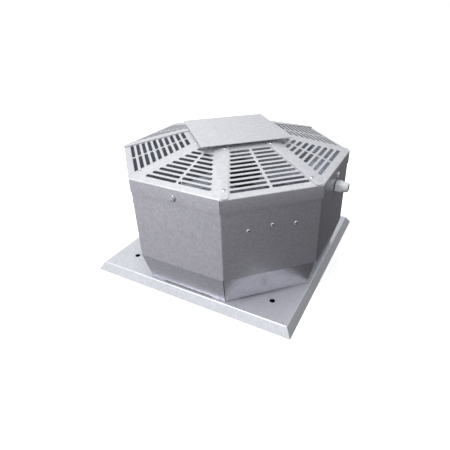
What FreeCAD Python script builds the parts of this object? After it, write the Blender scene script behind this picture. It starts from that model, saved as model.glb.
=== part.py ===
import FreeCAD, Part
import math
import os
from FreeCAD import Vector

# Roof extract fan with a vertical discharge: a folded base plate, an octagonal casing,
# a cap of eight slotted grille panels under a square cover plate, and a backward-curved
# impeller on an external-rotor motor that hangs from four arms.
# Millimetres. +Z is up, the front is -Y, and the origin is the centre of the inlet
# on the underside of the base plate, where the fan seats on its curb.

# ---- base plate ----
BASE_WIDTH = 450.0            # over the lower edges of the folded flanges
BASE_FLANGE_DROP = 14.7       # how far the flanges' outer skin hangs below the seat
BASE_FLANGE_SPREAD = 10.8     # how far they lean out
BASE_SHEET = 1.5
BASE_CORNER_GAP = 0.8         # open mitre between two flanges
MOUNT_HOLE_INSET = 60.0       # from the overall width to a fixing hole
MOUNT_HOLE_D = 11.0

# ---- casing ----
CASING_SHEET = 1.0
SKIRT_SETBACK = 6.5           # from the base plate's fold to the foot of the skirt
SKIRT_SPREAD = 15.3           # how far the casing stands out over the skirt's foot
SKIRT_BEND_Z = 64.5
SKIRT_SLIT_ABOVE_BEND = 2.0   # how far the slit between two tabs runs up past the bend
SKIRT_CORNER_GAP = 1.6        # open seam between two skirt tabs
SKIRT_FOOT = 14.0
DRAIN_HALF_WIDTH = 55.0
DRAIN_HEIGHT = 3.0
CASING_TOP_Z = 225.0
CASING_CORNER_R = 4.0
SEAM_FLANGE = 14.0

# ---- cap ----
CAP_SHEET = 1.0
CAP_GAP = 0.4                 # between the casing and the cap's band
CAP_RIM_ABOVE_CASING = 3.8
CAP_BAND = 26.1
CAP_SCREW_ABOVE_EDGE = 8.4    # cap screws over the band's lower edge
CAP_SCREW_THREAD = 9.0        # thread inside the casing
WELD_NUT_HEIGHT = 5.0
CAP_RISE = 36.9               # from the rim to the top opening
CAP_BAND_GAP = 0.8            # open corner between two bands
OPENING_R = 95.1              # flat of the opening on the front, back and sides
OPENING_HALF_WIDTH = 23.6
OPENING_LIP = 10.0
SLOT_WIDTH = 7.0
SLOT_PITCH = 12.0
SLOT_RIB = 4.6
SLOT_RIDGE_MARGIN = 16.3
CARDINAL_FIRST_ROW = 18.6
CARDINAL_TOP_MARGIN = 7.5
DIAGONAL_FIRST_ROW = 16.5
DIAGONAL_TOP_MARGIN = 15.0
FLAP_WIDTH = 13.9
FLAP_CORNER_R = 6.0
FLAP_END_GAP = 2.0
FLAP_RIVET_FROM_RIDGE = 7.0
FLAP_RIVET_LOW_R = 203.0
FLAP_RIVET_FROM_OPENING = 7.1
PLATE_SIDE = 182.0
PLATE_SHEET = 1.5
BRIDGE_HEIGHT = 5.3
BRIDGE_WIDTH = 50.0
BRIDGE_OFFSET = 15.0
BRIDGE_FOOT = 9.0
PLATE_RIVET_SPAN = 40.0

# ---- inlet ring and impeller ----
IMPELLER_D = 250.0
EYE_D = 168.0
IMPELLER_SHEET = 1.2
EYE_GAP = 2.5                 # between the inlet ring and the impeller's eye
EYE_OVERLAP = 6.0
INLET_HEIGHT = 50.0
INLET_THROAT_LENGTH = 11.0    # straight part above the curve
INLET_FLANGE = 19.0
INLET_FLANGE_LAP = 14.0
SHROUD_LIP = 6.0
SHROUD_BEND_R = 16.0
SHROUD_ANGLE = 20.0
OUTLET_WIDTH = 46.0
BLADES = 7
BLADE_SHEET = 1.5
BLADE_SWEEP = 52.0
BLADE_BOW = 9.0
BLADE_RIM_SETBACK = 0.5       # a blade ends this much inside the rim
BLADE_TO_ROTOR = 4.0          # from the rotor's flange to a blade's inner edge
BLADE_STEPS = 5               # flats along a blade's curve
IMPELLER_SIDES = 6 * BLADES   # flats round the impeller, the same behind every blade
INLET_SIDES = 42

# ---- motor ----
ROTOR_D = 106.0
ROTOR_WALL = 2.5
ROTOR_LENGTH = 66.0
ROTOR_BELOW_BACK_PLATE = 42.5
ROTOR_FLANGE = 9.0
ROTOR_FLANGE_THICK = 3.0
ROTOR_FLOOR = 3.0
ROTOR_CHAMFER = 4.0
ROTOR_CORE_D = 81.0
AIR_GAP = 0.5
CORE_LENGTH = 40.0
CORE_ABOVE_ROTOR_FOOT = 11.0
CORE_SIDES = 24               # laminations, bearings and shaft are this many narrow flats
COILS = 12
WINDING_HEIGHT = 9.0          # of the coil heads above the stack, half of it below
COIL_SHARE = 0.9              # of the way round that the coil heads fill
WINDING_TO_TUBE = 3.0
WINDING_TO_GAP = 5.0
SHAFT_D = 12.0
SHAFT_SHOULDER_D = 15.0
BEARING_D = 28.0
BEARING_WIDTH = 8.0
BEARING_RING = 2.6
BEARING_CLEARANCE = 0.05
TUBE_WALL = 4.0
TUBE_ABOVE_ROTOR_FOOT = 6.0
BEARING_SETBACK = 1.5         # of the lower bearing in its tube
SHAFT_PROUD = 1.0             # of the shaft below the rotor
SHAFT_END = 2.0               # of the shaft above the upper bearing
STATOR_FLANGE_D = 90.0
STATOR_FLANGE_THICK = 6.0
ROTOR_TO_FLANGE = 2.0

# ---- motor support ----
ARM_SHEET = 2.0
ARM_HALF_WIDTH = 18.0
ARM_FLANGE_HEIGHT = 24.0
ARM_RIVET_SPAN = 44.5
ARM_RIVET_MARGIN = 10.0
ARM_RIVET_RISE = 4.3
ARM_INNER_R = 54.0
ARM_LIP = 10.0
ARM_LIP_TO_PLATE = 2.0
MOTOR_PLATE_R = 74.0

# ---- electrical pieces ----
BOX_SIZE = (92.0, 66.0, 36.0)
BOX_WALL = 2.0
BOX_LID = 4.0
BOX_CORNER = 3.0
LID_EDGE = 1.0
BLOCK_SIZE = (36.0, 16.0, 18.0)
BLOCK_WELLS = 4
WELL_SIDE = 5.0
LEAD_TAIL = 8.0               # straight end of the lead before the terminal strip
CAPACITOR_D = 30.0
CAPACITOR_LENGTH = 56.0
CAPACITOR_SIDES = 16
CAPACITOR_GAP = 3.0           # to the terminal box
CAPACITOR_LIFT = 1.0          # of the can over the motor plate
SADDLE = 16.0                 # width and length of the capacitor's foot
LEAD_D = 4.0
LEAD_SIDES = 6
LEAD_BEND_R = 13.0
LEAD_X = 29.0
GLAND_THREAD_D = 16.0
GLAND_FLATS = 22.0
GLAND_BELOW_BAND = 14.9
GLAND_BORE_D = 10.0
SEAL_BORE_D = 8.0
GLAND_WASHER = 1.5
GLAND_HEX = 6.0
GLAND_NECK = 6.5
GLAND_DOME = 12.0
GLAND_SIDES = 12
GLAND_TAIL = 10.0             # of the thread inside the casing
GLAND_LOCKNUT = 5.0
GLAND_MOUTH = 3.0             # of the dome's mouth over the bore
DOME_RIM = 1.0

# ---- fasteners ----
RIVET_HEAD_D = 8.0
RIVET_HEAD = 1.6
LOW_RIVET_D = 6.0             # heads on the cover plate
LOW_RIVET_HEAD = 0.4
M6 = (6.0, 10.0, 4.0)         # thread, across flats, head height

# ---- worked-out places ----
TAN = math.tan(math.radians(22.5))
BASE_FLAT = BASE_WIDTH / 2 - BASE_FLANGE_SPREAD
SKIRT_R = BASE_FLAT - SKIRT_SETBACK
CASING_R = SKIRT_R + SKIRT_SPREAD
SHELL_Z = SKIRT_BEND_Z + SKIRT_SLIT_ABOVE_BEND
CAP_R = CASING_R + CAP_GAP + CAP_SHEET
RIM_Z = CASING_TOP_Z + CAP_RIM_ABOVE_CASING
BAND_Z = RIM_Z - CAP_BAND
OPENING_Z = RIM_Z + CAP_RISE
RIM_HALF_WIDTH = TAN * CAP_R
MOUNT_HOLE = BASE_WIDTH / 2 - MOUNT_HOLE_INSET
DIAGONAL_OPENING_R = (OPENING_R + OPENING_HALF_WIDTH) / math.sqrt(2)
DIAGONAL_OPENING_HALF = (OPENING_R - OPENING_HALF_WIDTH) / math.sqrt(2)

EYE_R = EYE_D / 2
IMPELLER_R = IMPELLER_D / 2
THROAT_R = EYE_R - EYE_GAP - IMPELLER_SHEET
INLET_CURVE_R = INLET_HEIGHT - BASE_SHEET - INLET_THROAT_LENGTH
INLET_HOLE_R = THROAT_R + INLET_CURVE_R + INLET_FLANGE - INLET_FLANGE_LAP
INLET_FLANGE_R = THROAT_R + INLET_CURVE_R + INLET_FLANGE
EYE_Z = INLET_HEIGHT - EYE_OVERLAP
SHROUD_BETA = math.radians(90 - SHROUD_ANGLE)
SHROUD_CENTRE = (EYE_R + SHROUD_BEND_R, EYE_Z + SHROUD_LIP)
CONE_R = SHROUD_CENTRE[0] - SHROUD_BEND_R * math.cos(SHROUD_BETA)
CONE_Z = SHROUD_CENTRE[1] + SHROUD_BEND_R * math.sin(SHROUD_BETA)
SHROUD_RIM_Z = CONE_Z + (IMPELLER_R - CONE_R) * math.tan(math.radians(SHROUD_ANGLE))
BACK_PLATE_Z = SHROUD_RIM_Z + OUTLET_WIDTH

ROTOR_R = ROTOR_D / 2
ROTOR_Z = BACK_PLATE_Z - ROTOR_BELOW_BACK_PLATE
ROTOR_TOP_Z = ROTOR_Z + ROTOR_LENGTH
ROTOR_FLANGE_R = ROTOR_R + ROTOR_FLANGE
STATOR_FLANGE_Z = ROTOR_TOP_Z + ROTOR_TO_FLANGE
MOTOR_PLATE_Z = STATOR_FLANGE_Z + STATOR_FLANGE_THICK
ARM_Z = MOTOR_PLATE_Z - ARM_SHEET
ARM_RIVET_Z = ARM_Z + ARM_FLANGE_HEIGHT / 2 - ARM_RIVET_RISE / 2
PLATE_TOP = MOTOR_PLATE_Z + ARM_SHEET
CORE_Z = ROTOR_Z + CORE_ABOVE_ROTOR_FOOT
TUBE_Z = ROTOR_Z + TUBE_ABOVE_ROTOR_FOOT
TUBE_R = BEARING_D / 2 + TUBE_WALL
WINDING_R = (TUBE_R + WINDING_TO_TUBE, ROTOR_CORE_D / 2 - WINDING_TO_GAP)
LOWER_BEARING_Z = TUBE_Z + BEARING_SETBACK
UPPER_BEARING_Z = STATOR_FLANGE_Z - BEARING_WIDTH
GLAND_Z = BAND_Z - GLAND_BELOW_BAND
CAP_SCREW_Z = BAND_Z + CAP_SCREW_ABOVE_EDGE
CARDINALS = (("right", 0), ("back", 90), ("left", 180), ("front", 270))
DIAGONALS = (("back_right", 45), ("back_left", 135), ("front_left", 225), ("front_right", 315))


def turned(shape, degrees):
    """A copy of a shape, turned about the fan's axis."""
    copy = shape.copy()
    copy.rotate(Vector(0, 0, 0), Vector(0, 0, 1), degrees)
    return copy


def moved(shape, x, y, z):
    copy = shape.copy()
    copy.translate(Vector(x, y, z))
    return copy


def around(shape, count, start=0.0):
    """Equal copies round the fan's axis."""
    return [turned(shape, start + 360.0 * i / count) for i in range(count)]


def box(x, y, z):
    """A block between three pairs of limits."""
    corner = Vector(x[0], y[0], z[0])
    return Part.makeBox(x[1] - x[0], y[1] - y[0], z[1] - z[0], corner)


def disc(radius, z0, z1, x=0.0, y=0.0):
    return Part.makeCylinder(radius, z1 - z0, Vector(x, y, z0))


def rod(radius, x0, x1, y=0.0, z=0.0):
    """A cylinder along X."""
    return Part.makeCylinder(radius, x1 - x0, Vector(x0, y, z), Vector(1, 0, 0))


def prism(outline, z0, z1):
    """A plan outline, given as points, raised from z0 to z1."""
    points = [Vector(x, y, z0) for x, y in outline]
    face = Part.Face(Part.makePolygon(points + points[:1]))
    return face.extrude(Vector(0, 0, z1 - z0))


def profile(points):
    """A face in the XZ plane."""
    corners = [Vector(x, 0, z) for x, z in points]
    return Part.Face(Part.makePolygon(corners + corners[:1]))


def spun(outline, sides):
    """A profile of (radius, z) points spun about the fan's axis, in narrow flats."""
    reach = 2 * max(r for r, _ in outline)
    levels = [z for _, z in outline]
    face = profile(outline)
    face.translate(Vector(0, -reach, 0))
    bar = face.extrude(Vector(0, 2 * reach, 0))
    half = reach * math.tan(math.pi / sides)
    wedge = prism([(0, 0), (reach, -half), (reach, half)], min(levels) - 1, max(levels) + 1)
    return joined(around(bar.common(wedge), sides))


def folded(path, thickness, half_width):
    """A sheet folded along a path of (x, z) points and as wide as asked along Y.

    The path is the outer skin, and the thickness lies to its right."""
    normals = []
    for (xa, za), (xb, zb) in zip(path, path[1:]):
        run = math.hypot(xb - xa, zb - za)
        normals.append(((zb - za) / run, -(xb - xa) / run))
    inner = []
    for i, (x, z) in enumerate(path):
        a = normals[max(i - 1, 0)]
        b = normals[min(i, len(normals) - 1)]
        share = thickness / (1 + a[0] * b[0] + a[1] * b[1])
        inner.append((x + (a[0] + b[0]) * share, z + (a[1] + b[1]) * share))
    face = profile(list(path) + inner[::-1])
    face.translate(Vector(0, -half_width, 0))
    return face.extrude(Vector(0, 2 * half_width, 0))


def joined(shapes):
    """One solid from pieces that touch or overlap."""
    first, rest = shapes[0], shapes[1:]
    return first.fuse(rest).removeSplitter() if rest else first


def arc_steps(centre, radius, a0, a1, steps=3):
    """Points at equal steps along an arc, between two angles in degrees."""
    turns = [math.radians(a0 + (a1 - a0) * i / steps) for i in range(steps + 1)]
    return [(centre[0] + radius * math.cos(a), centre[1] + radius * math.sin(a)) for a in turns]


def less(shape, tools):
    return shape.cut(Part.makeCompound(tools)) if tools else shape


def along(shape, place, direction):
    """A piece made on +Z at the origin, set down at a place and pointed along a direction."""
    copy = shape.copy()
    turn = FreeCAD.Rotation(Vector(0, 0, 1), direction)
    copy.Placement = FreeCAD.Placement(place, turn).multiply(copy.Placement)
    return copy


def hex_outline(flats, sides=6):
    radius = flats / 2 / math.cos(math.pi / sides)
    angles = [2 * math.pi * (i + 0.5) / sides for i in range(sides)]
    return [(radius * math.cos(a), radius * math.sin(a)) for a in angles]


def shank_hole(diameter, length):
    """The drilling tool for a small fastener, six-sided as the fastener's own shank is."""
    return prism(hex_outline(diameter), -length, length)


def rivet_head():
    """The head of a blind rivet, seated on the outer sheet."""
    return prism(hex_outline(RIVET_HEAD_D), 0, RIVET_HEAD)


def screw(size, length):
    """A hexagon-head screw with its head's underside at the origin."""
    thread, flats, height = size
    head = prism(hex_outline(flats), 0, height)
    return joined([head, prism(hex_outline(thread), -length, 0)])


def save(name, shape):
    shape.exportStep(os.path.join("parts", name + ".step"))


# ---- base ----

def base_plate():
    """A square plate with its four edges folded down and mitred at the corners."""
    reach = BASE_WIDTH
    edge = BASE_WIDTH / 2
    path = [(0.0, BASE_SHEET), (BASE_FLAT, BASE_SHEET), (edge, -BASE_FLANGE_DROP)]
    quarter = folded(path, BASE_SHEET, reach)
    wedge = prism([(0, 0), (reach, -reach), (reach, reach)], -reach, reach)
    side = quarter.common(wedge)
    plate = joined(around(side, 4))
    fold = BASE_FLAT - BASE_SHEET
    slit = box((fold * math.sqrt(2), reach), (-BASE_CORNER_GAP / 2, BASE_CORNER_GAP / 2), (-reach, 0))
    holes = around(slit, 4, 45)
    for x in (-MOUNT_HOLE, MOUNT_HOLE):
        for y in (-MOUNT_HOLE, MOUNT_HOLE):
            holes.append(disc(MOUNT_HOLE_D / 2, -1, BASE_SHEET + 1, x, y))
    holes.append(prism(hex_outline(2 * INLET_HOLE_R, INLET_SIDES), -1, BASE_SHEET + 1))
    return less(plate, holes)


def inlet_ring():
    """The spun bellmouth that leads air from the base plate's hole into the impeller's eye."""
    top = BASE_SHEET + IMPELLER_SHEET
    centre = (THROAT_R + INLET_CURVE_R, BASE_SHEET + INLET_CURVE_R)
    flow = arc_steps(centre, INLET_CURVE_R, 180, 270)
    back = arc_steps(centre, INLET_CURVE_R - IMPELLER_SHEET, 270, 180)
    outline = [(THROAT_R, INLET_HEIGHT)] + flow
    outline += [(INLET_FLANGE_R, BASE_SHEET), (INLET_FLANGE_R, top)] + back
    outline.append((THROAT_R + IMPELLER_SHEET, INLET_HEIGHT))
    return spun(outline, INLET_SIDES)


# ---- casing ----

def octagon(flat_r, z0, z1, corner_r):
    """An octagonal prism with rounded upright corners."""
    half = TAN * flat_r
    corners = []
    for i in range(8):
        a = math.radians(45 * i)
        corners.append((flat_r * math.cos(a) - half * math.sin(a), flat_r * math.sin(a) + half * math.cos(a)))
    solid = prism(corners, z0, z1)
    upright = [e for e in solid.Edges if e.BoundBox.ZLength > (z1 - z0) / 2]
    return solid.makeFillet(corner_r, upright)


def skirt_tab():
    """One leaning tab of the skirt with its foot, on the +X side."""
    path = [
        (CASING_R, SHELL_Z),
        (CASING_R, SKIRT_BEND_Z),
        (SKIRT_R, BASE_SHEET),
        (SKIRT_R - SKIRT_FOOT, BASE_SHEET),
    ]
    tab = folded(path, CASING_SHEET, CASING_R)
    far = 2 * CASING_R
    gap = SKIRT_CORNER_GAP / 2 / math.cos(math.radians(22.5))
    apex = gap / TAN
    wedge = prism([(apex, 0), (far, gap - TAN * far), (far, TAN * far - gap)], -1, CASING_TOP_Z)
    drain = box((0, CASING_R), (-DRAIN_HALF_WIDTH, DRAIN_HALF_WIDTH), (-1, BASE_SHEET + DRAIN_HEIGHT))
    return tab.common(wedge).cut(drain)


def seam_flange(side):
    """The inward lip that closes one half of the casing at its end corner."""
    corner = CASING_R / math.cos(math.radians(22.5))
    y = (0, CASING_SHEET) if side > 0 else (-CASING_SHEET, 0)
    return box((corner - SEAM_FLANGE, corner - CASING_SHEET * 1.2), y, (SKIRT_BEND_Z + 4, CASING_TOP_Z))


def wall_tools(tool, y, z, depth=0.0):
    """A tool or fastener set square on the +X wall."""
    return along(tool, Vector(CASING_R - depth, y, z), Vector(1, 0, 0))


def arm_rivet_places():
    side = ARM_RIVET_SPAN
    return [(-side, ARM_RIVET_Z), (0.0, ARM_RIVET_Z + ARM_RIVET_RISE), (side, ARM_RIVET_Z)]


def casing_half(first, gland):
    """Four walls from the side at angle first, folded from one sheet, with the skirt below."""
    shell = octagon(CASING_R, SHELL_Z, CASING_TOP_Z, CASING_CORNER_R)
    hollow = octagon(CASING_R - CASING_SHEET, SHELL_Z - 1, CASING_TOP_Z + 1, CASING_CORNER_R - CASING_SHEET)
    start = first - 22.5
    far = 2 * CASING_R
    half_space = turned(box((-far, far), (0, far), (0, far)), start)
    pieces = [shell.cut(hollow).common(half_space)]
    pieces += [turned(skirt_tab(), first + 45 * i) for i in range(4)]
    pieces.append(turned(seam_flange(1), start))
    pieces.append(turned(seam_flange(-1), start + 180))
    solid = joined(pieces)
    holes = []
    for i in range(4):
        angle = first + 45 * i
        if angle % 90 == 0:
            holes.append(turned(wall_tools(shank_hole(M6[0], 3), 0, CAP_SCREW_Z), angle))
    if gland:
        holes.append(gland_bar(GLAND_THREAD_D, CASING_R - 5, CASING_R + 5))
    return less(solid, holes)


# ---- cap ----

def ridge(share):
    """A point in plan on the ridge beside the +X panel, from the rim (0) to the opening (1)."""
    x = CAP_R + (OPENING_R - CAP_R) * share
    y = RIM_HALF_WIDTH + (OPENING_HALF_WIDTH - RIM_HALF_WIDTH) * share
    return x, y


def panel_outline(opening_r, opening_half, lip):
    """Plan outline of a panel on the +X side, out past its rim and in to the end of its lip."""
    rim_half = RIM_HALF_WIDTH
    share = (CAP_R - opening_r + lip) / (CAP_R - opening_r)
    inner_half = rim_half + (opening_half - rim_half) * share
    end = CAP_R - (CAP_R - opening_r) * share
    out = CAP_R + 2
    left = [(end, inner_half), (CAP_R, rim_half), (out, rim_half)]
    return [(x, -y) for x, y in left[::-1]] + left


def slot_tools(opening_r, opening_half, first_row, top_margin):
    """Cutters for one panel's rows, square to its slope and two to a row."""
    run = CAP_R - opening_r
    slope = math.hypot(run, CAP_RISE)
    rows = int((slope - first_row - top_margin) / SLOT_PITCH) + 1
    tools = []
    for row in range(rows):
        s = first_row + SLOT_PITCH * row
        share = s / slope
        outer = RIM_HALF_WIDTH + (opening_half - RIM_HALF_WIDTH) * share - SLOT_RIDGE_MARGIN
        inner = SLOT_RIB / 2
        for y in ((inner, outer), (-outer, -inner)):
            cutter = box((-SLOT_WIDTH / 2, SLOT_WIDTH / 2), y, (-3 * CAP_SHEET, 3 * CAP_SHEET))
            place = Vector(CAP_R - run * share, 0, RIM_Z + CAP_RISE * share)
            tools.append(along(cutter, place, Vector(CAP_RISE, 0, run)))
    return tools


def panel_sheet(opening_r, opening_half, lift):
    """Band, slope and lip of one panel on the +X side, lifted by a share of the sheet."""
    run = CAP_R - opening_r
    slope = math.hypot(run, CAP_RISE)
    up = lift * CAP_SHEET * slope / run
    path = [
        (CAP_R, BAND_Z),
        (CAP_R, RIM_Z + up),
        (opening_r, OPENING_Z + up),
        (opening_r - OPENING_LIP, OPENING_Z + up),
    ]
    sheet = folded(path[::-1], CAP_SHEET, CAP_R)
    outline = panel_outline(opening_r, opening_half, OPENING_LIP)
    panel = sheet.common(prism(outline, 0, 2 * OPENING_Z))
    gap = CAP_BAND_GAP
    corner = box((CAP_R - 3, CAP_R + 3), (RIM_HALF_WIDTH - gap, RIM_HALF_WIDTH + gap), (0, RIM_Z - 1))
    other = box((CAP_R - 3, CAP_R + 3), (-RIM_HALF_WIDTH - gap, gap - RIM_HALF_WIDTH), (0, RIM_Z - 1))
    return less(panel, [corner, other])


def flap_outline():
    """Plan of the flap beside the +X panel: a strip along the ridge, its low corner rounded."""
    (x0, y0), (x1, y1) = ridge(0), ridge(1)
    run = math.hypot(x1 - x0, y1 - y0)
    ux, uy = (x1 - x0) / run, (y1 - y0) / run
    vx, vy = uy, -ux
    if vy < 0:
        vx, vy = -vx, -vy
    wide = FLAP_WIDTH * math.cos(math.radians(22.5))
    low = FLAP_END_GAP
    r = FLAP_CORNER_R
    corner = arc_steps((low + r, wide - r), r, 90, 180)
    local = [(low, 0.0), (run, 0.0), (run, wide)] + corner
    return [(x0 + ux * s + vx * v, y0 + uy * s + vy * v) for s, v in local]


def flap():
    """The flap that laps from the +X panel over the panel on its left."""
    run = CAP_R - DIAGONAL_OPENING_R
    slope = math.hypot(run, CAP_RISE)
    up = CAP_SHEET * slope / run
    path = [(DIAGONAL_OPENING_R, OPENING_Z + up), (CAP_R + 2, RIM_Z + up - 2 * CAP_RISE / run)]
    sheet = turned(folded(path, CAP_SHEET, CAP_R), 45)
    return sheet.common(prism(flap_outline(), 0, 2 * OPENING_Z))


def flap_rivet_places():
    """Centre and direction of the two rivets on the flap beside the +X panel."""
    run = CAP_R - DIAGONAL_OPENING_R
    slope = math.hypot(run, CAP_RISE)
    half = math.radians(45)
    normal = Vector(CAP_RISE * math.cos(half), CAP_RISE * math.sin(half), run)
    places = []
    for r in (FLAP_RIVET_LOW_R, DIAGONAL_OPENING_R + FLAP_RIVET_FROM_OPENING):
        share = (CAP_R - r) / run
        edge = RIM_HALF_WIDTH + (DIAGONAL_OPENING_HALF - RIM_HALF_WIDTH) * share
        t = FLAP_RIVET_FROM_RIDGE - edge
        up = CAP_SHEET * slope / run
        x = r * math.cos(half) - t * math.sin(half)
        y = r * math.sin(half) + t * math.cos(half)
        places.append((Vector(x, y, RIM_Z + CAP_RISE * share + up), normal))
    return places


def on_flaps(tool):
    """A tool or rivet at each of the four places on the flaps of the +X panel."""
    left = [along(tool, place, normal) for place, normal in flap_rivet_places()]
    right = [piece.mirror(Vector(0, 0, 0), Vector(0, 1, 0)) for piece in left]
    return left + right


def cardinal_panel():
    sheet = panel_sheet(OPENING_R, OPENING_HALF_WIDTH, 1)
    left = flap()
    right = left.mirror(Vector(0, 0, 0), Vector(0, 1, 0))
    panel = joined([sheet, left, right])
    tools = slot_tools(OPENING_R, OPENING_HALF_WIDTH, CARDINAL_FIRST_ROW, CARDINAL_TOP_MARGIN)
    tools.append(along(shank_hole(M6[0], 4), Vector(CAP_R, 0, CAP_SCREW_Z), Vector(1, 0, 0)))
    return less(panel, tools)


def diagonal_panel():
    sheet = panel_sheet(DIAGONAL_OPENING_R, DIAGONAL_OPENING_HALF, 0)
    tools = slot_tools(DIAGONAL_OPENING_R, DIAGONAL_OPENING_HALF, DIAGONAL_FIRST_ROW, DIAGONAL_TOP_MARGIN)
    return less(sheet, tools)


def top_plate_bridge():
    """A hat-shaped strip across the opening that lifts the cover plate clear of the panels."""
    reach = DIAGONAL_OPENING_R
    low = OPENING_Z + BASE_SHEET
    high = OPENING_Z + BRIDGE_HEIGHT
    inner = reach - BRIDGE_FOOT
    path = [
        (-reach, low),
        (-inner, low),
        (-inner + BRIDGE_HEIGHT, high),
        (inner - BRIDGE_HEIGHT, high),
        (inner, low),
        (reach, low),
    ]
    strip = folded(path, BASE_SHEET, BRIDGE_WIDTH / 2)
    return turned(moved(strip, 0, BRIDGE_OFFSET, 0), 45)


def top_plate():
    """The square cover plate, turned so that its corners lie over the front, back and sides."""
    h = PLATE_SIDE / 2
    z = OPENING_Z + BRIDGE_HEIGHT
    return turned(box((-h, h), (-h, h), (z, z + PLATE_SHEET)), 45)


def top_plate_rivets():
    """Two low heads on the cover plate, over the bridge that holds it."""
    head = prism(hex_outline(LOW_RIVET_D), 0, LOW_RIVET_HEAD)
    z = OPENING_Z + BRIDGE_HEIGHT + PLATE_SHEET
    heads = [moved(head, side * PLATE_RIVET_SPAN, BRIDGE_OFFSET, z) for side in (-1, 1)]
    return Part.makeCompound([turned(h, 45) for h in heads])


def cap_screws():
    grip = CAP_GAP + CAP_SHEET + CASING_SHEET
    one = along(screw(M6, grip + CAP_SCREW_THREAD), Vector(CAP_R, 0, CAP_SCREW_Z), Vector(1, 0, 0))
    return Part.makeCompound(around(one, 4))


def cap_nuts():
    """Weld nuts on the inside of the casing for the cap's screws."""
    nut = prism(hex_outline(M6[1]), -WELD_NUT_HEIGHT, 0).cut(shank_hole(M6[0], 2 * WELD_NUT_HEIGHT))
    one = along(nut, Vector(CASING_R - CASING_SHEET, 0, CAP_SCREW_Z), Vector(1, 0, 0))
    return Part.makeCompound(around(one, 4))


# ---- impeller ----

def shroud_flow():
    """The shroud's flow surface in (r, z): rounded entry, then a shallow cone to the rim."""
    return arc_steps(SHROUD_CENTRE, SHROUD_BEND_R, 180, 90 + SHROUD_ANGLE) + [(IMPELLER_R, SHROUD_RIM_Z)]


def impeller_shroud():
    """The flared front ring: a short lip at the eye, a rounded entry and a shallow cone."""
    drop = IMPELLER_SHEET / math.cos(math.radians(SHROUD_ANGLE))
    back = arc_steps(SHROUD_CENTRE, SHROUD_BEND_R - IMPELLER_SHEET, 90 + SHROUD_ANGLE, 180)
    outline = [(EYE_R, EYE_Z)] + shroud_flow() + [(IMPELLER_R, SHROUD_RIM_Z - drop)] + back
    return spun(outline + [(EYE_R + IMPELLER_SHEET, EYE_Z)], IMPELLER_SIDES)


def back_plate():
    """The impeller's rear disc, centred on the rotor and screwed up under its flange."""
    low, high = BACK_PLATE_Z, BACK_PLATE_Z + BLADE_SHEET
    return spun([(ROTOR_R, low), (IMPELLER_R, low), (IMPELLER_R, high), (ROTOR_R, high)], IMPELLER_SIDES)


def blade():
    """A backward-curved blade, trimmed to seat on the shroud and under the rear disc."""
    inner_r = ROTOR_FLANGE_R + BLADE_TO_ROTOR
    rim = IMPELLER_R - BLADE_RIM_SETBACK
    rim_z = SHROUD_RIM_Z - BLADE_RIM_SETBACK * math.tan(math.radians(SHROUD_ANGLE))
    outline = [(inner_r, BACK_PLATE_Z)] + shroud_flow()[1:-1] + [(rim, rim_z), (rim, BACK_PLATE_Z)]
    passage = spun(outline, IMPELLER_SIDES)
    sweep = math.radians(BLADE_SWEEP)
    reach = IMPELLER_R + BLADE_TO_ROTOR
    start = Vector(ROTOR_FLANGE_R, 0, 0)
    end = Vector(reach * math.cos(sweep), reach * math.sin(sweep), 0)
    chord = end.sub(start)
    radius = (chord.Length**2 / 4 + BLADE_BOW**2) / (2 * BLADE_BOW)
    half = math.degrees(math.asin(chord.Length / 2 / radius))
    across = Vector(chord.y, -chord.x, 0).normalize()
    centre = start.add(end).multiply(0.5).sub(across * (radius - BLADE_BOW))
    middle = math.degrees(math.atan2(across.y, across.x))
    place = (centre.x, centre.y)
    outer = arc_steps(place, radius + BLADE_SHEET / 2, middle - half, middle + half, BLADE_STEPS)
    inner = arc_steps(place, radius - BLADE_SHEET / 2, middle + half, middle - half, BLADE_STEPS)
    return prism(outer + inner, EYE_Z, BACK_PLATE_Z + 1).common(passage)


# ---- motor ----

def rotor_bell():
    """The motor's turning cup, closed below, with the ring that carries the impeller."""
    inner = ROTOR_R - ROTOR_WALL
    floor = ROTOR_Z + ROTOR_FLOOR
    flange_z = BACK_PLATE_Z + BLADE_SHEET
    outline = [
        (0, ROTOR_Z),
        (ROTOR_R - ROTOR_CHAMFER, ROTOR_Z),
        (ROTOR_R, ROTOR_Z + ROTOR_CHAMFER),
        (ROTOR_R, flange_z),
        (ROTOR_FLANGE_R, flange_z),
        (ROTOR_FLANGE_R, flange_z + ROTOR_FLANGE_THICK),
        (ROTOR_R, flange_z + ROTOR_FLANGE_THICK),
        (ROTOR_R, ROTOR_TOP_Z),
        (inner, ROTOR_TOP_Z),
        (inner, floor),
        (0, floor),
    ]
    bore = core_bar(SHAFT_D / 2, ROTOR_Z - 1, floor + 1)
    return spun(outline, IMPELLER_SIDES).cut(bore)


def core_bar(apothem, z0, z1):
    """A bar on the axis with narrow flats, for what is pressed on, in or round the shaft."""
    return prism(hex_outline(2 * apothem, CORE_SIDES), z0, z1)


def corner_r(apothem):
    """How far the edges between those flats stand from the axis."""
    return apothem / math.cos(math.pi / CORE_SIDES)


def rotor_core():
    """The laminated ring with its cage, pressed into the bell."""
    bell_flats = hex_outline(2 * (ROTOR_R - ROTOR_WALL), IMPELLER_SIDES)
    ring = prism(bell_flats, CORE_Z, CORE_Z + CORE_LENGTH)
    return ring.cut(core_bar(ROTOR_CORE_D / 2, CORE_Z - 1, CORE_Z + CORE_LENGTH + 1))


def motor_shaft():
    shoulder = core_bar(SHAFT_SHOULDER_D / 2, LOWER_BEARING_Z + BEARING_WIDTH, UPPER_BEARING_Z)
    end = UPPER_BEARING_Z + BEARING_WIDTH + SHAFT_END
    return joined([core_bar(SHAFT_D / 2, ROTOR_Z - SHAFT_PROUD, end), shoulder])


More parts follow.
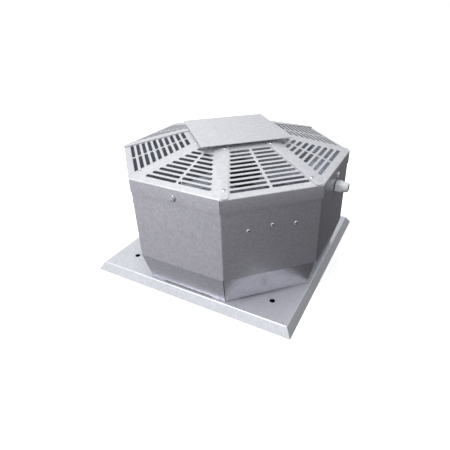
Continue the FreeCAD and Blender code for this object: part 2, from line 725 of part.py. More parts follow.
def bearing_outer(z):
    """A sealed ball bearing's outer ring, with its shields reaching in to the inner ring."""
    lip = corner_r(SHAFT_D / 2 + BEARING_RING) + BEARING_CLEARANCE
    ring = core_bar(BEARING_D / 2, z, z + BEARING_WIDTH)
    return ring.cut(core_bar(lip, z - 1, z + BEARING_WIDTH + 1))


def bearing_inner(z):
    ring = core_bar(SHAFT_D / 2 + BEARING_RING, z, z + BEARING_WIDTH)
    return ring.cut(core_bar(SHAFT_D / 2, z - 1, z + BEARING_WIDTH + 1))


def lead_hole(z0, z1):
    return prism([(x + LEAD_X, y) for x, y in hex_outline(LEAD_D, LEAD_SIDES)], z0, z1)


def stator_flange():
    """The cast flange of the motor and the bearing tube that hangs from it."""
    cast = joined([
        core_bar(TUBE_R, TUBE_Z, MOTOR_PLATE_Z),
        core_bar(STATOR_FLANGE_D / 2, STATOR_FLANGE_Z, MOTOR_PLATE_Z),
    ])
    bore = core_bar(BEARING_D / 2, TUBE_Z - 1, MOTOR_PLATE_Z + 1)
    return less(cast, [bore, lead_hole(STATOR_FLANGE_Z - 1, MOTOR_PLATE_Z + 1)])


def stator_core():
    """The stack of laminations round the bearing tube, inside the rotor's ring."""
    outer = (ROTOR_CORE_D / 2 - AIR_GAP) * math.cos(math.pi / CORE_SIDES)
    core = core_bar(outer, CORE_Z, CORE_Z + CORE_LENGTH)
    return core.cut(core_bar(TUBE_R, CORE_Z - 1, CORE_Z + CORE_LENGTH + 1))


def windings():
    """The heads of the coils, standing out above and below the stack."""
    r0, r1 = WINDING_R
    half = r0 * math.tan(math.pi / COILS) * COIL_SHARE
    heads = []
    below = WINDING_HEIGHT / 2
    for z, height in ((CORE_Z - below, below), (CORE_Z + CORE_LENGTH, WINDING_HEIGHT)):
        heads += around(box((r0, r1), (-half, half), (z, z + height)), COILS)
    return Part.makeCompound(heads)


# ---- motor support ----

def motor_plate():
    """The plate that the motor hangs from, resting on the inner ends of the arms."""
    plate = prism(hex_outline(2 * MOTOR_PLATE_R, 8), MOTOR_PLATE_Z, PLATE_TOP)
    return plate.cut(lead_hole(MOTOR_PLATE_Z - 1, PLATE_TOP + 1))


def support_arm():
    """A folded arm on the +X side: web, two stiffening lips and an upturned end flange."""
    wall = CASING_R - CASING_SHEET
    wide = ARM_RIVET_SPAN + ARM_RIVET_MARGIN
    neck = wall - (wide - ARM_HALF_WIDTH)
    h = ARM_HALF_WIDTH
    outline = [(ARM_INNER_R, -h), (neck, -h), (wall, -wide), (wall, wide), (neck, h), (ARM_INNER_R, h)]
    web = prism(outline, ARM_Z, MOTOR_PLATE_Z)
    flange = box((wall - ARM_SHEET, wall), (-wide, wide), (ARM_Z, ARM_Z + ARM_FLANGE_HEIGHT))
    reach = (MOTOR_PLATE_R + ARM_LIP_TO_PLATE, neck)
    lips = []
    for y in (-h, h - ARM_SHEET):
        lips.append(box(reach, (y, y + ARM_SHEET), (ARM_Z - ARM_LIP, ARM_Z)))
    return joined([web, flange] + lips)


def arm_rivets():
    """Three rivet heads on each diagonal wall, over the end flange of an arm."""
    wall = [wall_tools(rivet_head(), y, z) for y, z in arm_rivet_places()]
    return Part.makeCompound([turned(r, a) for a in (45, 135, 225, 315) for r in wall])


# ---- electrical pieces ----

def box_z():
    """Levels of the terminal box's foot and rim."""
    return PLATE_TOP, PLATE_TOP + BOX_SIZE[2]


def terminal_box():
    x, y = BOX_SIZE[0] / 2, BOX_SIZE[1] / 2
    low, high = box_z()
    shell = box((-x, x), (-y, y), (low, high))
    corners = [e for e in shell.Edges if e.BoundBox.ZLength > BOX_CORNER]
    shell = shell.makeChamfer(BOX_CORNER, corners)
    wall = BOX_WALL
    shell = shell.cut(box((wall - x, x - wall), (wall - y, y - wall), (low + wall, high + 1)))
    return shell.cut(lead_hole(low - 1, low + 2 * wall))


def terminal_box_lid():
    x, y = BOX_SIZE[0] / 2, BOX_SIZE[1] / 2
    high = box_z()[1]
    lid = box((-x, x), (-y, y), (high, high + BOX_LID))
    lid = lid.makeChamfer(BOX_CORNER, [e for e in lid.Edges if e.BoundBox.ZLength > BOX_LID / 2])
    return lid.makeChamfer(LID_EDGE, [e for e in lid.Edges if e.BoundBox.ZMin > high + BOX_LID / 2])


def block_limits():
    low = box_z()[0] + BOX_WALL
    x1 = LEAD_X - LEAD_BEND_R - LEAD_TAIL
    return (x1 - BLOCK_SIZE[0], x1), low


def terminal_block():
    """The terminal strip: a body with a square well over each clamp."""
    (x0, x1), low = block_limits()
    y = BLOCK_SIZE[1] / 2
    top = low + BLOCK_SIZE[2]
    body = box((x0, x1), (-y, y), (low, top))
    pitch = BLOCK_SIZE[0] / BLOCK_WELLS
    half = WELL_SIDE / 2
    wells = []
    for i in range(BLOCK_WELLS):
        x = x0 + pitch * (i + 0.5)
        wells.append(box((x - half, x + half), (-half, half), (top - WELL_SIDE, top + 1)))
    return less(body, wells)


def motor_lead():
    """The motor's lead: straight up out of the winding, then round into the terminal strip."""
    (_, x1), low = block_limits()
    bottom = CORE_Z + CORE_LENGTH + WINDING_HEIGHT
    bend = low
    top = bend + LEAD_BEND_R
    points = [
        Vector(LEAD_X, 0, bottom),
        Vector(LEAD_X, 0, bend),
        Vector(LEAD_X - LEAD_BEND_R * (1 - math.sqrt(0.5)), 0, bend + LEAD_BEND_R * math.sqrt(0.5)),
        Vector(LEAD_X - LEAD_BEND_R, 0, top),
        Vector(x1, 0, top),
    ]
    path = Part.Wire([
        Part.LineSegment(points[0], points[1]).toShape(),
        Part.Arc(points[1], points[2], points[3]).toShape(),
        Part.LineSegment(points[3], points[4]).toShape(),
    ])
    ring = [Vector(x + LEAD_X, y, bottom) for x, y in hex_outline(LEAD_D, LEAD_SIDES)]
    section = Part.makePolygon(ring + ring[:1])
    lead = path.makePipeShell([section], True, False)
    expected = path.Length * Part.Face(section).Area
    print("motor lead: length %.1f, volume %.1f of %.1f" % (path.Length, lead.Volume, expected))
    return lead


def capacitor():
    """The motor's run capacitor, lying on the plate behind the terminal box."""
    y = BOX_SIZE[1] / 2 + CAPACITOR_D / 2 + CAPACITOR_GAP
    half = CAPACITOR_LENGTH / 2
    z = PLATE_TOP + CAPACITOR_D / 2 + CAPACITOR_LIFT
    can = prism(hex_outline(CAPACITOR_D, CAPACITOR_SIDES), -half, half)
    can = along(can, Vector(0, y, z), Vector(1, 0, 0))
    foot = SADDLE / 2
    saddle = box((-foot, foot), (y - foot, y + foot), (PLATE_TOP, z))
    return joined([can, saddle])


def gland_bar(diameter, x0, x1):
    """A many-sided bar on the gland's axis, of the diameter given over its corners."""
    flats = diameter * math.cos(math.pi / GLAND_SIDES)
    return along(prism(hex_outline(flats, GLAND_SIDES), 0, x1 - x0), Vector(x0, 0, GLAND_Z), Vector(1, 0, 0))


def gland_pieces():
    """A thread gland in the right-hand wall, its parts in order from inside to outside."""
    wall_in = CASING_R - CASING_SHEET
    face = CASING_R + GLAND_WASHER
    body_end = face + GLAND_HEX
    neck_end = body_end + GLAND_NECK
    tip = neck_end + GLAND_DOME
    thread = GLAND_THREAD_D
    mouth = GLAND_BORE_D + GLAND_MOUTH
    hexagon = hex_outline(GLAND_FLATS)

    def nut(x0, x1):
        return along(prism(hexagon, 0, x1 - x0), Vector(x0, 0, GLAND_Z), Vector(1, 0, 0))

    tail = wall_in - GLAND_TAIL
    inside = gland_bar(thread, tail, face)
    body = joined([inside, nut(face, body_end), gland_bar(thread, body_end, neck_end)])
    body = body.cut(gland_bar(GLAND_BORE_D, tail - 1, neck_end + 1))
    locknut = nut(wall_in - GLAND_LOCKNUT, wall_in).cut(inside)
    washer = gland_bar(GLAND_FLATS, CASING_R, face).cut(gland_bar(thread, tail, face + 1))
    outline = [(0, 0), (GLAND_FLATS / 2, 0), (mouth / 2 + DOME_RIM, GLAND_DOME), (0, GLAND_DOME)]
    cone = along(spun(outline, GLAND_SIDES), Vector(neck_end, 0, GLAND_Z), Vector(1, 0, 0))
    dome = joined([nut(body_end, neck_end), cone])
    dome = dome.cut(gland_bar(thread, body_end - 1, neck_end))
    dome = dome.cut(gland_bar(mouth, neck_end - 1, tip + 1))
    seal = gland_bar(mouth, neck_end, tip).cut(rod(SEAL_BORE_D / 2, neck_end - 1, tip + 1, 0, GLAND_Z))
    return {
        "gland_locknut": locknut,
        "gland_washer": washer,
        "gland_body": body,
        "gland_seal": seal,
        "gland_dome_nut": dome,
    }


def build():
    os.makedirs("parts", exist_ok=True)
    nodes = {
        "base_plate": base_plate(),
        "inlet_ring": inlet_ring(),
        "casing_front": casing_half(225, True),
        "casing_rear": casing_half(45, False),
        "top_plate": top_plate(),
        "top_plate_bridge": top_plate_bridge(),
        "top_plate_rivets": top_plate_rivets(),
        "cap_screws": cap_screws(),
        "cap_weld_nuts": cap_nuts(),
        "impeller_shroud": impeller_shroud(),
        "impeller_back_plate": back_plate(),
        "rotor_bell": rotor_bell(),
        "rotor_core": rotor_core(),
        "motor_shaft": motor_shaft(),
        "stator_flange": stator_flange(),
        "stator_core": stator_core(),
        "stator_windings": windings(),
        "motor_plate": motor_plate(),
        "arm_rivets": arm_rivets(),
        "terminal_box": terminal_box(),
        "terminal_box_lid": terminal_box_lid(),
        "terminal_block": terminal_block(),
        "motor_lead": motor_lead(),
        "run_capacitor": capacitor(),
    }
    nodes.update(gland_pieces())
    for name, z in (("upper", UPPER_BEARING_Z), ("lower", LOWER_BEARING_Z)):
        nodes[name + "_bearing_outer"] = bearing_outer(z)
        nodes[name + "_bearing_inner"] = bearing_inner(z)
    one_blade = blade()
    for i, piece in enumerate(around(one_blade, BLADES)):
        nodes["impeller_blade_%d" % (i + 1)] = piece
    one_arm = support_arm()
    for name, angle in DIAGONALS:
        nodes["support_arm_" + name] = turned(one_arm, angle)
    cardinal = cardinal_panel()
    for name, angle in CARDINALS:
        nodes["grille_" + name] = turned(cardinal, angle)
    diagonal = diagonal_panel()
    for name, angle in DIAGONALS:
        nodes["grille_" + name] = turned(diagonal, angle)
    rivets = on_flaps(rivet_head())
    nodes["grille_rivets"] = Part.makeCompound([turned(r, 90 * i) for i in range(4) for r in rivets])
    for name, shape in sorted(nodes.items()):
        save(name, shape)
    print(len(nodes), "nodes")


build()
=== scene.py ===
# %% [markdown]
# # Roof extract fan
# This lesson dresses a finished CAD model of a kitchen roof fan in Blender. The CAD nodes are
# the fixed frame: they say where everything is. Here the sheet-metal pieces get their rolled
# bends, round-ended slots and rivets, the spun pieces get smooth curves, and every surface
# gets its finish. Lengths are metres, and +Z is up the fan's shaft.

import math

import bmesh
import bpy
from mathutils import Matrix, Vector


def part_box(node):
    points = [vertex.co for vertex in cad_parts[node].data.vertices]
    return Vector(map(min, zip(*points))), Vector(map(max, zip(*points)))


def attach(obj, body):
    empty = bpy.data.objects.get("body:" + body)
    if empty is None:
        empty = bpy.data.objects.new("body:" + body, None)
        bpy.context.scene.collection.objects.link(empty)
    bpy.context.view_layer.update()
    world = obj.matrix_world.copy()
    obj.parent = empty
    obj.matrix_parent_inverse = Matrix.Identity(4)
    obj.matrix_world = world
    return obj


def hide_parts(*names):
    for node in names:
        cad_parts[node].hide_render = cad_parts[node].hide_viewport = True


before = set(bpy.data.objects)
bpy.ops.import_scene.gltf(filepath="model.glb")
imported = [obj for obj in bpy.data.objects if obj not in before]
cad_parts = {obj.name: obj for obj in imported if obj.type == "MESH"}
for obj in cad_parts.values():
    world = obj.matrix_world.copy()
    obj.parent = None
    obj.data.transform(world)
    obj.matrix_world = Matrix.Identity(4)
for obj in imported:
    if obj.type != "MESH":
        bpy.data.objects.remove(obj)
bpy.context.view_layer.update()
MM = 0.001

# %% [markdown]
# The sizes that a maker would read off the drawing come from the boxes of the CAD nodes: how
# far the cap's band stands from the shaft, how high its rim is, and where the base ends. Only
# small sizes that the frame can't tell, such as a bend's radius, are written as numbers.

# %% Sizes from the frame
TAN = math.tan(math.radians(22.5))
CASING_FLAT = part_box("casing_front")[1].x
CASING_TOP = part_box("casing_front")[1].z
CAP_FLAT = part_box("grille_right")[1].x
BAND_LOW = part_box("grille_right")[0].z
BASE_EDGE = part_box("base_plate")[1].x
BASE_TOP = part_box("base_plate")[1].z
BASE_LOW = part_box("base_plate")[0].z
PLATE_LOW, PLATE_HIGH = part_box("top_plate")[0].z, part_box("top_plate")[1].z
PLATE_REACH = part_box("top_plate")[1].x
SHEET = 1.0 * MM
RIM = CASING_TOP + 3.8 * MM
OPENING_Z = PLATE_LOW - 5.3 * MM
RIM_HALF = TAN * CAP_FLAT
CARDINALS = {"right": 0, "back": 90, "left": 180, "front": 270}
DIAGONALS = {"back_right": 45, "back_left": 135, "front_left": 225, "front_right": 315}
print("casing", round(CASING_FLAT, 4), "cap", round(CAP_FLAT, 4), "opening", round(OPENING_Z, 4))

# %% [markdown]
# Zinc from a hot-dip bath is the look of this fan. Close to, it's a mosaic of small crystals
# that each reflect a little differently, under a fine grain and some cloudy patches. Three
# textures make that: Voronoi cells for the crystals, fine noise for the grain and broad noise
# for the clouds. They are a node group, so that each sheet can have its own strength of them.

# %% A node group for zinc
def group_io(group, inputs, outputs):
    """Adds number sockets to a node group and returns its input and output nodes."""
    for name, value in inputs.items():
        socket = group.interface.new_socket(name, in_out="INPUT", socket_type="NodeSocketFloat")
        socket.default_value = value
    for name in outputs:
        group.interface.new_socket(name, in_out="OUTPUT", socket_type="NodeSocketFloat")
    return group.nodes.new("NodeGroupInput"), group.nodes.new("NodeGroupOutput")


def math_node(tree, operation, a, b=0.0, c=0.0, clamp=False):
    """A Math node whose inputs are sockets or numbers."""
    node = tree.nodes.new("ShaderNodeMath")
    node.operation = operation
    node.use_clamp = clamp
    for socket, value in zip(node.inputs, (a, b, c)):
        if isinstance(value, bpy.types.NodeSocket):
            tree.links.new(value, socket)
        else:
            socket.default_value = value
    return node.outputs[0]


def noise_node(tree, vector, scale, detail=2.0, roughness=0.5, distortion=0.0):
    node = tree.nodes.new("ShaderNodeTexNoise")
    node.inputs["Scale"].default_value = scale
    node.inputs["Detail"].default_value = detail
    node.inputs["Roughness"].default_value = roughness
    node.inputs["Distortion"].default_value = distortion
    tree.links.new(vector, node.inputs["Vector"])
    return node.outputs["Fac"]


def make_zinc_group():
    tree = bpy.data.node_groups.new("zinc_surface", "ShaderNodeTree")
    strengths = {"Spangle": 0.10, "Grain": 0.12, "Cloud": 0.10, "Roughness": 0.45}
    given, out = group_io(tree, strengths, ("Shade", "Gloss", "Height"))
    place = tree.nodes.new("ShaderNodeTexCoord").outputs["Object"]
    cells = tree.nodes.new("ShaderNodeTexVoronoi")
    cells.inputs["Scale"].default_value = 210.0
    cells.inputs["Randomness"].default_value = 1.0
    tree.links.new(place, cells.inputs["Vector"])
    crystal = tree.nodes.new("ShaderNodeSeparateColor")
    tree.links.new(cells.outputs["Color"], crystal.inputs[0])
    grain = noise_node(tree, place, 620.0, 3.0, 0.65)
    cloud = noise_node(tree, place, 9.0, 4.0, 0.55, 0.4)

    def about_zero(texture, strength):
        """A texture centred on zero and scaled by one of the group's strengths."""
        centred = math_node(tree, "SUBTRACT", texture, 0.5)
        return math_node(tree, "MULTIPLY", centred, given.outputs[strength])

    fine = math_node(tree, "ADD", about_zero(crystal.outputs[0], "Spangle"), about_zero(grain, "Grain"))
    mixed = math_node(tree, "ADD", fine, about_zero(cloud, "Cloud"))
    tree.links.new(math_node(tree, "ADD", mixed, 1.0), out.inputs["Shade"])
    polish = math_node(tree, "MULTIPLY", mixed, 0.35)
    rough = math_node(tree, "SUBTRACT", given.outputs["Roughness"], polish, clamp=True)
    tree.links.new(rough, out.inputs["Gloss"])
    grain_height = math_node(tree, "MULTIPLY", grain, 0.5)
    crystal_height = math_node(tree, "MULTIPLY", crystal.outputs[1], 0.3)
    tree.links.new(math_node(tree, "ADD", grain_height, crystal_height), out.inputs["Height"])
    return tree


ZINC = make_zinc_group()
print("node group:", ZINC.name, "with", len(ZINC.nodes), "nodes")

# %% [markdown]
# Each zinc sheet is then a Principled shader. The group's shade multiplies the sheet's own
# colour, its gloss drives the roughness, and its height goes through a Bump node.

# %% Sheet-metal materials
def shader(name, metallic, roughness=0.5):
    """A new node material, and its Principled node, with the constants set on its sockets."""
    material = bpy.data.materials.new(name)
    material.use_nodes = True
    surface = material.node_tree.nodes["Principled BSDF"]
    surface.inputs["Metallic"].default_value = metallic
    surface.inputs["Roughness"].default_value = roughness
    surface.inputs["Specular IOR Level"].default_value = 0.5
    return material, surface


def tinted(tree, colour, shade):
    """The colour multiplied by a shade that changes over the surface."""
    mix = tree.nodes.new("ShaderNodeVectorMath")
    mix.operation = "SCALE"
    mix.inputs[0].default_value = colour
    tree.links.new(shade, mix.inputs["Scale"])
    return mix.outputs[0]


def zinc_sheet(name, colour, spangle, grain, cloud, roughness, metallic=0.75):
    """A galvanised finish, from how strongly each of the three textures shows in it."""
    material, surface = shader(name, metallic)
    tree = material.node_tree
    node = tree.nodes.new("ShaderNodeGroup")
    node.node_tree = ZINC
    strengths = {"Spangle": spangle, "Grain": grain, "Cloud": cloud, "Roughness": roughness}
    for socket, value in strengths.items():
        node.inputs[socket].default_value = value
    tree.links.new(tinted(tree, colour, node.outputs["Shade"]), surface.inputs["Base Color"])
    tree.links.new(node.outputs["Gloss"], surface.inputs["Roughness"])
    bump = tree.nodes.new("ShaderNodeBump")
    bump.inputs["Strength"].default_value = 0.12
    bump.inputs["Distance"].default_value = 0.2 * MM
    tree.links.new(node.outputs["Height"], bump.inputs["Height"])
    tree.links.new(bump.outputs["Normal"], surface.inputs["Normal"])
    return material


cap_zinc = zinc_sheet("cap_zinc", (0.68, 0.68, 0.705), 0.12, 0.34, 0.06, 0.50)
# The walls' zinc has a coarser grain of its own; its darker colour is painted shade for upright faces, and
# the cap's band takes it too.
upright_shaded_zinc = zinc_sheet("upright_shaded_zinc", (0.545, 0.535, 0.59), 0.14, 0.95, 0.10, 0.38, 0.82)
base_zinc = zinc_sheet("base_zinc", (0.66, 0.67, 0.71), 0.10, 0.32, 0.14, 0.42)
inner_zinc = zinc_sheet("inner_zinc", (0.60, 0.63, 0.69), 0.12, 0.20, 0.10, 0.60, 0.25)
print("zinc sheets:", [m.name for m in bpy.data.materials if m.name.endswith("zinc")])

# %% [markdown]
# The other finishes are simpler: bright rivets, plated screws, ground steel, black castings,
# copper under varnish, moulded plastic and rubber. Each still has its own
# fine texture, because an even colour never looks like a real material.

# %% Other materials
def textured(name, colour, spread, scale, metallic, roughness, bump, rough_spread=0.1):
    """A finish whose shade, roughness and relief all follow one noise at the right scale."""
    material, surface = shader(name, metallic, roughness)
    tree = material.node_tree
    place = tree.nodes.new("ShaderNodeTexCoord").outputs["Object"]
    fine = noise_node(tree, place, scale, 3.0, 0.6)
    centred = math_node(tree, "SUBTRACT", fine, 0.5)
    shade = math_node(tree, "ADD", math_node(tree, "MULTIPLY", centred, spread), 1.0)
    tree.links.new(tinted(tree, colour, shade), surface.inputs["Base Color"])
    rough = math_node(tree, "ADD", math_node(tree, "MULTIPLY", centred, rough_spread), roughness)
    tree.links.new(rough, surface.inputs["Roughness"])
    relief = tree.nodes.new("ShaderNodeBump")
    relief.inputs["Strength"].default_value = bump
    relief.inputs["Distance"].default_value = 0.2 * MM
    tree.links.new(fine, relief.inputs["Height"])
    tree.links.new(relief.outputs["Normal"], surface.inputs["Normal"])
    return material


rivet_steel = textured("rivet_steel", (0.66, 0.67, 0.69), 0.15, 900.0, 1.0, 0.30, 0.05)
# A near-black finish that paints the thin line of shade under the lower edge of the cap's band.
painted_edge_shade = textured("painted_edge_shade", (0.07, 0.07, 0.08), 0.3, 900.0, 0.3, 0.60, 0.10)
# A near-black finish that paints the shade inside a rivet's pit.
painted_pit_shade = textured("painted_pit_shade", (0.03, 0.03, 0.035), 0.3, 900.0, 0.3, 0.60, 0.10)
screw_zinc = textured("screw_zinc", (0.55, 0.55, 0.56), 0.2, 700.0, 1.0, 0.34, 0.08)
ground_steel = textured("ground_steel", (0.60, 0.60, 0.61), 0.1, 1500.0, 1.0, 0.22, 0.04)
black_casting = textured("black_casting", (0.035, 0.036, 0.040), 0.5, 500.0, 0.2, 0.50, 0.35)
core_steel = textured("core_laminations", (0.30, 0.29, 0.28), 0.3, 600.0, 0.8, 0.45, 0.15)
coil_copper = textured("varnished_copper", (0.55, 0.23, 0.09), 0.35, 350.0, 0.9, 0.32, 0.40)
black_plastic = textured("black_plastic", (0.022, 0.022, 0.024), 0.3, 1400.0, 0.0, 0.48, 0.20)
pale_plastic = textured("pale_plastic", (0.66, 0.65, 0.61), 0.05, 900.0, 0.0, 0.42, 0.08)
gland_plastic = textured("gland_polyamide", (0.62, 0.64, 0.66), 0.06, 1000.0, 0.0, 0.38, 0.10)
black_rubber = textured("black_rubber", (0.015, 0.015, 0.016), 0.4, 1200.0, 0.0, 0.65, 0.25)
print(len(bpy.data.materials), "materials")

# %% [markdown]
# Every new piece ends the same way: its mesh becomes an object at the origin, it rides on a
# body of the frame, it hides the CAD nodes it stands for and it takes its finish. Smooth
# shading with sharp edges by angle keeps the rolled bends soft and the flat sheets flat.

# %% Finish a piece
def piece(name, bm, material, body="housing", stands_for=(), sharp=32.0):
    mesh = bpy.data.meshes.new(name)
    bm.to_mesh(mesh)
    bm.free()
    mesh.materials.append(material)
    mesh.shade_smooth()
    mesh.set_sharp_from_angle(angle=math.radians(sharp))
    made = bpy.data.objects.new(name, mesh)
    bpy.context.scene.collection.objects.link(made)
    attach(made, body)
    if stands_for:
        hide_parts(*stands_for)
    return made


def turn(bm, degrees):
    """Turns the whole mesh about the shaft."""
    spin = Matrix.Rotation(math.radians(degrees), 3, "Z")
    bmesh.ops.rotate(bm, cent=(0, 0, 0), matrix=spin, verts=bm.verts)


def thicken(bm, depth, inside=Vector((0, 0, 0))):
    """Gives a skin its sheet thickness on the side that faces a point inside the fan."""
    bmesh.ops.recalc_face_normals(bm, faces=bm.faces)
    outward = sum(f.normal.dot(f.calc_center_median() - inside) * f.calc_area() for f in bm.faces)
    if outward < 0:
        bmesh.ops.reverse_faces(bm, faces=bm.faces)
    bmesh.ops.solidify(bm, geom=bm.faces[:], thickness=depth)
    return bm


def copies(bm, matrices):
    """One mesh of several copies of another, each put in place by a matrix."""
    mesh = bpy.data.meshes.new("one")
    bm.to_mesh(mesh)
    bm.free()
    many = bmesh.new()
    for matrix in matrices:
        first = len(many.verts)
        many.from_mesh(mesh)
        many.verts.ensure_lookup_table()
        bmesh.ops.transform(many, matrix=matrix, verts=many.verts[first:])
    bpy.data.meshes.remove(mesh)
    return many


def around(degrees):
    """A matrix that turns something about the shaft."""
    return Matrix.Rotation(math.radians(degrees), 4, "Z")


def facing(place, direction):
    """A matrix that sets something made on +Z at a place, pointing along a direction."""
    return Matrix.Translation(place) @ Vector(direction).to_track_quat("Z", "Y").to_matrix().to_4x4()


def soften(bm, edges, offset, segments=2):
    """A small rounded bevel on some edges."""
    bmesh.ops.bevel(bm, geom=edges, offset=offset, affect="EDGES", segments=segments, profile=0.5,
                    material=-1)


print("helpers ready")

# %% [markdown]
# A cap panel is one punched and folded sheet. Its profile runs up the band, round the rim,
# up the slope and over the lip of the opening, and each point of that profile is as wide as
# the panel is there. So a panel is a strip of rows, and only the slope is different: its
# outline and its slots are loops in one plane, which triangle_fill fills with the holes left.

# %% Strips and slots
def bend(corner, before, after, radius, steps=4):
    """Points of a rolled bend at a corner of a 2D path, from its start to its end."""
    a, b = (before - corner).normalized(), (after - corner).normalized()
    half = a.angle(b) / 2
    reach = radius / math.tan(half)
    centre = corner + (a + b).normalized() * (radius / math.sin(half))
    start, end = corner + a * reach - centre, corner + b * reach - centre
    points = []
    for i in range(steps + 1):
        share = i / steps
        points.append(centre + start.slerp(end, share) * radius)
    return points


def row(bm, x, z, half):
    return [bm.verts.new((x, -half, z)), bm.verts.new((x, half, z))]


def lace(bm, rows):
    """Faces between rows that each have the same number of vertices."""
    for a, b in zip(rows, rows[1:]):
        for i in range(len(a) - 1):
            bm.faces.new((a[i], a[i + 1], b[i + 1], b[i]))


def loop_edges(bm, verts):
    return [bm.edges.new((a, b)) for a, b in zip(verts, verts[1:] + verts[:1])]


def slot_points(y0, y1, width, radius, steps=4):
    """A slot along y with rounded corners, as points (s, y) about its middle line."""
    points = []
    w = width / 2 - radius
    corners = ((w, y1 - radius, 0), (-w, y1 - radius, 90), (-w, y0 + radius, 180), (w, y0 + radius, 270))
    for cs, cy, first in corners:
        for i in range(steps + 1):
            a = math.radians(first + 90 * i / steps)
            points.append((cs + radius * math.cos(a), cy + radius * math.sin(a)))
    return points


print("strip and slot helpers ready")

# %% [markdown]
# The eight panels are two kinds in turn. The four over the front, back and sides narrow to a
# short edge at the opening and carry a flap on each side, which laps over the next panel and
# is riveted to it. The four between them are plain. Slot rows are 12 mm apart, and their
# ends follow the ridges.

# %% The two kinds of panel
OPENING_FLAT = 95.1 * MM
OPENING_HALF = 23.6 * MM
DIAGONAL_FLAT = (OPENING_FLAT + OPENING_HALF) / math.sqrt(2)
DIAGONAL_HALF = (OPENING_FLAT - OPENING_HALF) / math.sqrt(2)
RISE = OPENING_Z - RIM
RIM_BEND, LIP_BEND = 2.0 * MM, 3.0 * MM
BAND_GAP = 0.8 * MM
LIP = 10.0 * MM
SLOT = {"width": 7.0 * MM, "radius": 3.0 * MM, "pitch": 12.0 * MM, "rib": 4.6 * MM, "margin": 16.3 * MM}
LAPPED_FIRST, LAPPED_MARGIN = 18.6 * MM, 7.5 * MM      # first slot above the rim, room over the last
PLAIN_FIRST, PLAIN_MARGIN = 16.5 * MM, 15.0 * MM
TOP_FINISH, BAND_SHADE_FINISH, UNDER_FINISH, EDGE_SHADE_FINISH = range(4)
FLAP_WIDTH = 13.9 * MM
FLAP_CORNER = 6.0 * MM
FLAP_SPRING = 0.7 * MM         # how far a flap's free edge stands off the panel under it


class Panel:
    """Where a point of a panel on the +X side is, from how far it is up the slope."""

    def __init__(self, flat, half, lift):
        self.flat, self.half = flat, half
        self.run = CAP_FLAT - flat
        self.slope = math.hypot(self.run, RISE)
        self.up = lift * SHEET * self.slope / self.run

    def width(self, x):
        return RIM_HALF + (self.half - RIM_HALF) * (CAP_FLAT - x) / self.run

    def at(self, s, y):
        share = s / self.slope
        return Vector((CAP_FLAT - self.run * share, y, RIM + self.up + RISE * share))


def slot_rows(bm, panel, first, top_margin):
    """Edges of all slots of a panel, in rows on either side of its middle rib."""
    edges = []
    count = int((panel.slope - first - top_margin) / SLOT["pitch"]) + 1
    for i in range(count):
        s = first + SLOT["pitch"] * i
        outer = panel.width(panel.at(s, 0).x) - SLOT["margin"]
        for side in (1, -1):
            points = slot_points(SLOT["rib"] / 2, outer, SLOT["width"], SLOT["radius"])
            verts = [bm.verts.new(panel.at(s + ds, side * y)) for ds, y in points]
            edges += loop_edges(bm, verts)
    return edges


def next_panel_normal(side):
    """The way the plain panel beside the +X one faces, on its +Y (1) or -Y (-1) side."""
    eighth = math.pi / 4
    run = CAP_FLAT - DIAGONAL_FLAT
    return Vector((RISE * math.cos(eighth), side * RISE * math.sin(eighth), run))


def flap_skin(bm, low, high, side):
    """The flap on one ridge: it shares the ridge's two vertices and lies along the next panel."""
    axis = (high.co - low.co).normalized()
    next_normal = next_panel_normal(side).normalized()
    out = axis.cross(next_normal) * side
    if out.y * side < 0:
        out = -out
    length = (high.co - low.co).length
    verts = [low]
    for i in range(5):
        a = math.radians(22.5 * i)
        along_ridge = FLAP_CORNER * (1 - math.cos(a))
        across = FLAP_WIDTH - FLAP_CORNER * (1 - math.sin(a))
        verts.append(bm.verts.new(low.co + axis * along_ridge + out * across))
    verts.append(bm.verts.new(low.co + axis * length + out * FLAP_WIDTH))
    for vert in verts[1:]:
        vert.co += next_normal * FLAP_SPRING
    verts.append(high)
    bm.faces.new(verts if side > 0 else verts[::-1])


def panel_mesh(panel, first, top_margin, flaps):
    bm = bmesh.new()
    corner = Vector((CAP_FLAT, RIM + panel.up))
    top = Vector((panel.flat, OPENING_Z + panel.up))
    rim = bend(corner, Vector((CAP_FLAT, 0)), top, RIM_BEND)
    lip_end = Vector((panel.flat - LIP, OPENING_Z + panel.up))
    lip = bend(top, corner, lip_end, LIP_BEND, 2)
    rows = [row(bm, CAP_FLAT, BAND_LOW, RIM_HALF - BAND_GAP)]
    for i, p in enumerate(rim):
        rows.append(row(bm, p.x, p.y, panel.width(p.x) - (BAND_GAP if i == 0 else 0)))
    upper = [row(bm, p.x, p.y, panel.width(p.x)) for p in lip]
    upper.append(row(bm, lip_end.x, lip_end.y, panel.width(lip_end.x)))
    lace(bm, rows)
    lace(bm, upper)
    low, high = rows[-1], upper[0]
    edges = [bm.edges.get(low) or bm.edges.new(low), bm.edges.get(high) or bm.edges.new(high)]
    edges += [bm.edges.new((low[0], high[0])), bm.edges.new((low[1], high[1]))]
    edges += slot_rows(bm, panel, first, top_margin)
    bmesh.ops.triangle_fill(bm, use_beauty=True, use_dissolve=False, edges=edges)
    if flaps:
        flap_skin(bm, low[1], high[1], 1)
        flap_skin(bm, low[0], high[0], -1)
    return thicken(bm, SHEET)


def panel_finishes(made):
    """Paints the band with the darker upright zinc and the cut lower edge near black, both as shade, and
    gives the underside the inner finish.
    """
    for finish in (upright_shaded_zinc, inner_zinc, painted_edge_shade):
        made.data.materials.append(finish)
    for face in made.data.polygons:
        # The upright band takes the walls' darker zinc: painted shade.
        if face.center.z < RIM - RIM_BEND and abs(face.normal.z) < 0.3:
            face.material_index = BAND_SHADE_FINISH
        # The band's downward cut edge is painted near black, as shade.
        elif face.center.z < BAND_LOW + 0.1 * MM:
            face.material_index = EDGE_SHADE_FINISH
        elif face.normal.z < -0.7:
            face.material_index = UNDER_FINISH
        else:
            face.material_index = TOP_FINISH


